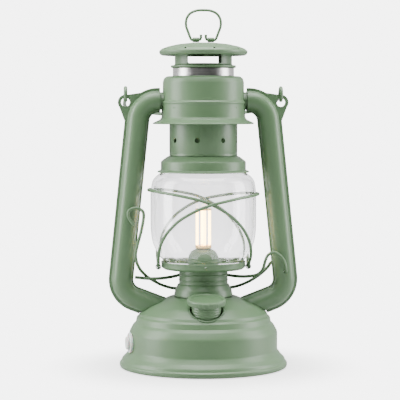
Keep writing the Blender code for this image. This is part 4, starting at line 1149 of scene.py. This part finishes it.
@dataclass
class Windshield:
    """Windshield round the chimney, with the two ferrules that the side tubes enter."""

    low: float = 195.2
    height: float = 37.6
    radius: float = 32.4
    lip: float = 8.1
    wall: float = 0.8
    mouth_radius: float = 25.0
    tube_rise: float = 17.7
    tube_end: float = 34.6
    ferrule_height: float = 7.0
    ferrule_width: float = 7.6
    ferrule_length: float = 3.7
    notch_count: int = 14
    notch_width: float = 2.2
    dimple_turn: float = math.radians(47.0)
    dimple_rise: float = 12.3
    dimple_radius: float = 1.3

    def shell(self) -> Shape:
        """Outer surface with its flared skirt, two beads and rolled shoulder."""
        low, rim, high = self.low, self.radius, self.low + self.height
        return spin_line(rounded_line([
            (rim + self.lip, low, 0.0), (rim + self.lip - 0.7, low + 0.6, 0.4), (rim + 2.0, low + 3.2, 1.8),
            (rim + 1.0, low + 5.0, 1.0), (rim + 0.8, low + 15.2, 1.2), (rim + 1.45, low + 16.7, 1.3),
            (rim, low + 18.2, 1.2), (rim, high - 4.9, 3.0),
            (rim - 0.9, high - 1.9, 2.0), (rim - 3.1, high - 0.3, 1.6), (self.mouth_radius, high, 0.0)]), 160)

    def side_frame(self, side: Side, distance: float) -> Matrix:
        """Frame of a tube's upper end: +Z runs outwards, and X up."""
        place = Vector((side.value * distance, 0.0, self.low + self.tube_rise))
        return Matrix.Translation(place) @ Matrix.Rotation(side.value * math.pi / 2.0, 4, "Y")

    def oval(self, spread: float, length: float) -> Shape:
        """Solid oval bar along Z, as large as the ferrule and a spread all round."""
        bar = round_bar(1.0, -length / 2.0, length / 2.0, 64)
        size = (self.ferrule_height + spread, self.ferrule_width + spread, 1.0, 1.0)
        return placed(bar, Matrix.Diagonal(size))

    def notches(self) -> Shape:
        """Cutter of the small notches round the top mouth."""
        half, top = self.notch_width / 2.0, self.low + self.height
        slot = [block((self.mouth_radius - 1.0, -half, top - 3.0), (self.mouth_radius + 1.5, half, top + 1.0))
                for _ in range(self.notch_count)]
        return gather([placed(cut, Matrix.Rotation(math.tau * (index + 0.5) / self.notch_count, 4, "Z"))
                       for index, cut in enumerate(slot)])

    def dimples(self) -> list[Shape]:
        """Cutters of the pressed dimples on the lower band."""
        cutters = []
        for face in Face:
            for side in Side:
                turn = math.pi / 2.0 + side.value * self.dimple_turn
                axis = Vector((math.cos(turn), face.value * math.sin(turn), 0.0))
                ball = bmesh.new()
                bmesh.ops.create_uvsphere(ball, u_segments=24, v_segments=12, radius=self.dimple_radius)
                place = axis * (self.radius + 0.9 + 0.75 * self.dimple_radius)
                place.z = self.low + self.dimple_rise
                cutters.append(placed(ball, Matrix.Translation(place)))
        return cutters

    def build(self, shop: Workshop) -> None:
        """Make the windshield and its ferrules."""
        cuts = [placed(self.oval(GAP, 12.0), self.side_frame(side, self.radius)) for side in Side]
        shop.add("draught_shield", self.shell(), POWDER_COAT, Body.ROOT, ["windshield"], wall=self.wall,
                 cuts=cuts + [self.notches()] + self.dimples())
        for side in Side:
            tag = side.name.lower()
            middle = self.tube_end - GAP - self.ferrule_length / 2.0
            ferrule = placed(self.oval(0.0, self.ferrule_length), self.side_frame(side, middle))
            bore = placed(self.oval(-1.0, 8.0), self.side_frame(side, self.radius))
            shop.add(f"ferrule_{tag}", ferrule, POWDER_COAT, Body.ROOT, [f"upper_ferrule_{tag}"], cuts=[bore])


@dataclass
class SideTube:
    """One side tube, pressed as a front and a back half with a seam flange and an ear."""

    side: Side
    tank: Tank
    end_x: float = 34.6
    high_x: float = 50.7
    low_x: float = 66.5
    top_z: float = 212.9
    low_z: float = 60.0
    arm_length: float = 36.5
    arm_fall: float = 0.386
    bend: float = 16.0
    half_width: float = 8.0
    half_depth: float = 9.8
    wall: float = 1.0
    flange_out: float = 2.5
    flange_in: float = 1.2
    flange_thickness: float = 0.8
    seam: float = 0.15
    ear_x: float = 62.0
    ear_z: float = 211.9
    ear_radius: float = 6.2
    ear_hole: float = 3.5
    pivot_x: float = 65.4
    pivot_z: float = 77.2
    pivot_radius: float = 1.7

    def stations(self) -> list[tuple[Vector, Vector]]:
        """Points of the middle line in X and Z, with the outward direction at each."""
        corners = [Vector((self.end_x, self.top_z)), Vector((self.high_x, self.top_z)),
                   Vector((self.low_x, self.low_z)),
                   Vector((self.low_x - self.arm_length, self.low_z - self.arm_length * self.arm_fall))]
        legs = [(after - before).normalized() for before, after in zip(corners, corners[1:])]
        row = [(corners[0], Vector((-legs[0].y, legs[0].x)))]
        for corner, come, leave in zip(corners[1:], legs, legs[1:]):
            turn = come.angle(leave)
            inward = Vector((come.y, -come.x))
            centre = corner - come * self.bend * math.tan(turn / 2.0) + inward * self.bend
            steps = 16
            for index in range(steps + 1):
                angle = turn * index / steps
                spoke = come * math.sin(angle) - inward * math.cos(angle)
                row.append((centre + spoke * self.bend, spoke))
        row.append((corners[-1], Vector((-legs[-1].y, legs[-1].x))))
        return row

    def section(self) -> list[Vector]:
        """Closed section of one pressed half, as outward distance and depth."""
        half, depth, sheet = self.half_width, self.half_depth, self.seam + self.flange_thickness
        line = [Vector((-half - self.flange_in, self.seam)), Vector((-half - self.flange_in, sheet)),
                Vector((-half - 0.3, sheet)), Vector((-half - 0.05, sheet + 0.25))]
        turns = [math.pi * (1.0 - index / 18) for index in range(1, 18)]
        line += [self.arc(turn, half, depth, sheet) for turn in turns]
        line += [Vector((half + 0.05, sheet + 0.25)), Vector((half + 0.3, sheet)),
                 Vector((half + self.flange_out - 0.25, sheet)),
                 Vector((half + self.flange_out, sheet - 0.25)), Vector((half + self.flange_out, self.seam))]
        inner_half, inner_depth = half - self.wall, depth - self.wall
        line.append(Vector((inner_half, self.seam)))
        line += [self.arc(turn, inner_half, inner_depth, self.seam) for turn in reversed(turns)]
        line.append(Vector((-inner_half, self.seam)))
        return line

    def arc(self, turn: float, half: float, depth: float, base: float) -> Vector:
        """Point of a slightly squared half oval that stands on a base depth."""
        across, deep = math.cos(turn), math.sin(turn)
        return Vector((half * math.copysign(abs(across) ** 0.86, across),
                       base + (depth - base) * abs(deep) ** 0.86))

    def tube(self, face: Face) -> Shape:
        """One swept half of the tube."""
        frames = []
        for point, normal in self.stations():
            along = Vector((normal.y, -normal.x))
            basis = Matrix(((self.side.value * normal.x, 0.0, self.side.value * along.x),
                            (0.0, face.value, 0.0), (normal.y, 0.0, along.y)))
            frames.append(Matrix.Translation((self.side.value * point.x, 0.0, point.y)) @ basis.to_4x4())
        return sweep(self.section(), frames)

    def ear(self, face: Face) -> Shape:
        """Lobe of the seam flange that holds the bail's eye."""
        fall = math.atan2(self.top_z - self.low_z, self.low_x - self.high_x)
        centre = Vector((self.high_x - self.bend * math.tan(fall / 2.0), self.top_z - self.bend))
        inner = self.bend + self.half_width + 0.6
        outline = [centre + Vector((math.cos(math.radians(turn)), math.sin(math.radians(turn)))) * inner
                   for turn in range(66, 0, -8)]
        outline.append(Vector((self.high_x + 12.2, self.top_z - 15.6)))
        middle = Vector((self.ear_x, self.ear_z))
        outline += [middle + Vector((math.cos(math.radians(turn)), math.sin(math.radians(turn))))
                    * self.ear_radius for turn in range(-38, 103, 10)]
        outline.append(Vector((self.high_x - 0.4, self.top_z + 6.6)))
        bm = bmesh.new()
        low = self.seam + 0.05
        verts = [bm.verts.new((self.side.value * point.x, face.value * low, point.y)) for point in outline]
        edges = [bm.edges.new((vert, verts[(index + 1) % len(verts)])) for index, vert in enumerate(verts)]
        bmesh.ops.contextual_create(bm, geom=edges)
        grown = bmesh.ops.extrude_face_region(bm, geom=list(bm.faces))["geom"]
        moved = [item for item in grown if isinstance(item, bmesh.types.BMVert)]
        bmesh.ops.translate(bm, verts=moved, vec=(0.0, face.value * (self.flange_thickness - 0.1), 0.0))
        face_outward(bm)
        return bm

    def build(self, shop: Workshop) -> None:
        """Make both halves with their ears."""
        tag = self.side.name.lower()
        for face in Face:
            half_tag = f"{tag}_{face.name.lower()}"
            eye = aimed((self.side.value * self.ear_x, 0.0, self.ear_z), (0, 1, 0))
            cuts = [self.tank.solid(GAP)]
            if self.side is Side.RIGHT:
                pivot = aimed((self.pivot_x, face.value * self.half_depth, self.pivot_z), (0, 1, 0))
                cuts.append(placed(round_bar(self.pivot_radius, -3.0, 3.0, 32), pivot))
            hole = placed(round_bar(self.ear_hole, -3.0, 3.0, 48), eye)
            for name, shape, tools in (("tube", self.tube(face), cuts), ("ear", self.ear(face), [hole])):
                shop.add(f"{name}_{half_tag}", shape, POWDER_COAT, Body.ROOT, [f"side_tube_{half_tag}"],
                         cuts=tools)


# ---------------------------------------------------------------- bail and lever

@dataclass
class Bail:
    """Carrying bail, folded back, hooked through both ears."""

    wire_radius: float = 1.45
    eye_radius: float = 5.0
    half_span: float = 62.0
    leg: float = 60.0
    droop: float = math.radians(8.0)
    pivot_z: float = 218.4

    def place(self, x: float, along: float, across: float) -> Vector:
        """A point of the bail's plane, from the pivot's height."""
        return Vector((x, along * math.cos(self.droop) + across * math.sin(self.droop),
                       self.pivot_z - along * math.sin(self.droop) + across * math.cos(self.droop)))

    def build(self, shop: Workshop) -> None:
        """Bend the bail from one wire, with a hooked eye at each end."""
        eye = [(self.eye_radius * math.cos(math.radians(turn)), self.eye_radius * math.sin(math.radians(turn)))
               for turn in range(335, 35, -30)]
        eye += [(5.6, 2.4), (9.0, 0.6), (14.0, 0.0), (36.0, 0.0)]
        route = [self.place(-self.half_span, along, across) for along, across in eye]
        for index in range(13):
            turn = math.pi * index / 12
            route.append(self.place(-self.half_span * math.cos(turn),
                                    self.leg + self.half_span * math.sin(turn), 0.0))
        route += [self.place(self.half_span, along, across) for along, across in reversed(eye)]
        shop.add("bail_wire", round_wire(smooth_route(route, 2.0), self.wire_radius), POWDER_COAT, Body.BAIL,
                 ["bail"])


@dataclass
class LiftLever:
    """Lifting lever: a handle wire and a fork wire that pivot in the right tube."""

    wire_radius: float = 1.25
    handle: tuple[tuple[float, float, float], ...] = (
        (-56.0, -12.0, 114.7), (-58.7, -12.0, 118.8), (-60.4, -12.0, 123.0), (-59.2, -12.0, 126.6),
        (-54.3, -12.0, 128.3), (-49.2, -12.0, 126.2), (-48.0, -12.0, 121.7), (-49.7, -12.0, 111.4),
        (-53.0, -12.0, 98.9), (-54.5, -12.0, 91.0), (-53.2, -9.8, 84.0), (-50.5, -4.0, 78.5),
        (-47.5, 1.0, 74.8), (-44.5, 3.8, 71.8), (-38.0, 8.0, 67.5), (-32.2, 13.0, 64.2),
        (-22.9, 21.0, 60.9), (-10.0, 26.3, 59.8), (0.0, 27.4, 59.6), (10.0, 26.3, 59.8),
        (22.7, 21.0, 61.1), (30.7, 16.0, 63.5), (38.8, 12.5, 67.5), (46.8, 11.8, 72.8),
        (52.9, 11.8, 78.5), (55.5, 12.4, 82.0), (60.0, 13.0, 84.0), (64.2, 13.0, 81.6),
        (65.4, 11.6, 77.4), (65.4, 9.6, 77.2), (65.4, 7.2, 77.2))
    fork: tuple[tuple[float, float, float], ...] = (
        (-54.6, 3.0, 71.8), (-50.0, 1.6, 71.5), (-45.0, -1.0, 71.2), (-36.0, 0.5, 71.0),
        (-28.0, 6.0, 71.3), (-20.0, 14.0, 72.0), (-12.0, 20.5, 74.0), (0.0, 23.5, 76.6),
        (12.0, 20.5, 74.5), (20.0, 14.0, 72.3), (28.7, 7.0, 71.7), (36.0, 1.0, 72.3),
        (42.8, -5.0, 74.2), (46.8, -9.0, 78.7), (48.9, -11.8, 86.5), (50.9, -12.6, 90.5),
        (54.9, -13.0, 92.7), (59.7, -13.0, 90.5), (62.9, -13.0, 86.8), (64.8, -12.8, 82.0),
        (65.4, -11.6, 77.6), (65.4, -9.6, 77.2), (65.4, -7.2, 77.2))

    def build(self, shop: Workshop) -> None:
        """Bend both wires."""
        for name, route, node in (("handle_wire", self.handle, "lift_lever_wire"),
                                  ("fork_wire", self.fork, "lift_fork_wire")):
            shop.add(name, round_wire(smooth_route(route, 1.2), self.wire_radius), POWDER_COAT,
                     Body.LEVER, [node])


# ---------------------------------------------------------------- studio

@dataclass
class Studio:
    """White sweep, large soft lamps and the camera."""

    camera_place: Vector = field(default_factory=lambda: Vector((-79.0, -1293.6, 206.3)))
    camera_aim: Vector = field(default_factory=lambda: Vector((-2.8, -1.9, 134.0)))
    lamp_aim: Vector = field(default_factory=lambda: Vector((0.0, 0.0, 130.0)))
    lens: float = 146.0
    room_front: float = 0.04
    room_back: float = 1.0
    backdrop: float = 5.8
    through_glass: float = 2.7
    # Between these distances from the lantern's middle, in metres, the floor's glow rises from
    # painted_shadow_glow to the backdrop's: a painted shadow round the foot.
    shadow_start: float = 0.066
    shadow_end: float = 0.14
    floor_reach: float = 4.0
    floor_tone: float = 0.5
    painted_shadow_glow: float = 2.2
    fade_low: float = -0.1
    fade_high: float = 0.75

    def sight(self, tree: bpy.types.NodeTree) -> tuple[Socket, Socket]:
        """Masks of what the camera sees by itself, and of what it sees through the glass."""
        path = add_node(tree, "LightPath").outputs
        first = add_math(tree, "SUBTRACT", 1.0, add_math(tree, "MINIMUM", path["Diffuse Depth"], 1.0))
        return path["Is Camera Ray"], add_math(tree, "MULTIPLY", path["Is Transmission Ray"], first)

    def world(self) -> None:
        """White backdrop, a bright wall behind the lantern and a dim room in front of it."""
        world = bpy.data.worlds.new("studio")
        bpy.context.scene.world = world
        world.use_nodes = True
        tree = world.node_tree
        place = add_node(tree, "TexCoord").outputs["Generated"]
        room = add_node(tree, "MapRange", {
            "Value": add_node(tree, "SeparateXYZ", {0: place}).outputs["Y"], "From Min": self.fade_low,
            "From Max": self.fade_high, "To Min": self.room_front, "To Max": self.room_back},
            interpolation_type="SMOOTHSTEP")
        direct, through = self.sight(tree)
        seen = add_math(tree, "ADD", add_math(tree, "MULTIPLY", direct, self.backdrop),
                        add_math(tree, "MULTIPLY", through, self.through_glass))
        unseen = add_math(tree, "SUBTRACT", 1.0, add_math(tree, "ADD", direct, through))
        rest = add_math(tree, "MULTIPLY", room.outputs[0], unseen)
        feed(tree, tree.nodes["Background"], {"Strength": add_math(tree, "ADD", seen, rest),
                                              "Color": (1.0, 1.0, 1.0, 1.0)})

    def floor(self) -> None:
        """Plain white floor with a painted shadow round the lantern's foot, where its glow is lowered, that
        fades to the backdrop's white further out.
        """
        bm = bmesh.new()
        bmesh.ops.create_grid(bm, x_segments=1, y_segments=1, size=self.floor_reach)
        mesh = bpy.data.meshes.new("floor")
        bm.to_mesh(mesh)
        bm.free()
        floor = bpy.data.objects.new("floor", mesh)
        bpy.context.scene.collection.objects.link(floor)
        material = bpy.data.materials.new("white_floor")
        material.use_nodes = True
        tree = material.node_tree
        direct, through = self.sight(tree)
        distance = add_node(tree, "VectorMath", {0: add_place(tree)}, operation="LENGTH").outputs["Value"]
        # Near the foot the glow is lowered to painted_shadow_glow, a painted shadow, and the real shadow shows
        # through the diffuse colour; further out the floor glows like the backdrop.
        glow, dark = (
            add_node(tree, "MapRange", {"Value": distance, "From Min": self.shadow_start,
                                        "From Max": self.shadow_end, "To Min": near, "To Max": far},
                     interpolation_type="SMOOTHSTEP").outputs[0]
            for near, far in ((self.painted_shadow_glow, self.backdrop), (0.0, self.floor_tone)))
        seen = add_math(tree, "ADD", add_math(tree, "MULTIPLY", glow, direct),
                        add_math(tree, "MULTIPLY", through, self.through_glass))
        tone = add_math(tree, "SUBTRACT", self.floor_tone, add_math(tree, "MULTIPLY", dark, direct))
        feed(tree, tree.nodes["Principled BSDF"], {
            "Base Color": tone, "Roughness": 0.9, "Specular IOR Level": 0.1, "Emission Strength": seen,
            "Emission Color": (1.0, 1.0, 1.0, 1.0)})
        mesh.materials.append(material)

    def lamp(self, name: str, place: Vector, aim: Vector, size: tuple[float, float], power: float) -> None:
        """Add one rectangular soft lamp.

        Args:
            name: Name of the lamp.
            place: Its middle, in millimetres.
            aim: Where it points, in millimetres.
            size: Its width and height, in millimetres.
            power: Its power in watts.
        """
        data = bpy.data.lights.new(name, "AREA")
        data.shape = "RECTANGLE"
        data.size, data.size_y = size[0] * MM, size[1] * MM
        data.energy = power
        lamp = bpy.data.objects.new(name, data)
        lamp.matrix_world = self.look(place, aim)
        bpy.context.scene.collection.objects.link(lamp)

    def look(self, place: Vector, aim: Vector) -> Matrix:
        """Frame at a place whose -Z points at the aim and whose Y points up."""
        basis = (aim - place).to_track_quat("-Z", "Y").to_matrix().to_4x4()
        return Matrix.Translation(place * MM) @ basis

    def lamps(self) -> None:
        """Two tall side boxes, a wide one overhead and a weaker one high in front."""
        for name, place, size, power in (
                ("left_box", (-900.0, -60.0, 320.0), (450.0, 1200.0), 21.0),
                ("right_box", (900.0, -60.0, 320.0), (450.0, 1200.0), 17.0),
                ("top_box", (0.0, -60.0, 1100.0), (1000.0, 800.0), 27.0),
                ("front_box", (-150.0, -1000.0, 1250.0), (900.0, 500.0), 7.0)):
            self.lamp(name, Vector(place), self.lamp_aim, size, power)

    def camera(self) -> None:
        """Add the camera."""
        data = bpy.data.cameras.new("camera")
        data.lens = self.lens
        data.sensor_width = 36.0
        data.clip_end = 20.0
        camera = bpy.data.objects.new("camera", data)
        camera.matrix_world = self.look(self.camera_place, self.camera_aim)
        bpy.context.scene.collection.objects.link(camera)
        bpy.context.scene.camera = camera

    def build(self) -> None:
        """Set the whole studio up."""
        self.world()
        self.floor()
        self.lamps()
        self.camera()


def main() -> None:
    """Build the lantern's looks and the studio, and log how many pieces were made."""
    logging.basicConfig(level=logging.INFO, format="%(name)s: %(message)s")
    shop = Workshop()
    shop.stock()
    tank = Tank()
    hood = Hood()
    parts = [tank, Dimmer(tank), ChargePort(tank), Burner(), GlobeCarrier(), hood, CarryingRing(hood),
             Windshield(), SideTube(Side.LEFT, tank), SideTube(Side.RIGHT, tank), Bail(), LiftLever()]
    for part in parts:
        LOG.info("building %s", type(part).__name__)
        part.build(shop)
    Studio().build()
    LOG.info("made %d pieces", shop.made)


if __name__ == "__main__":
    main()
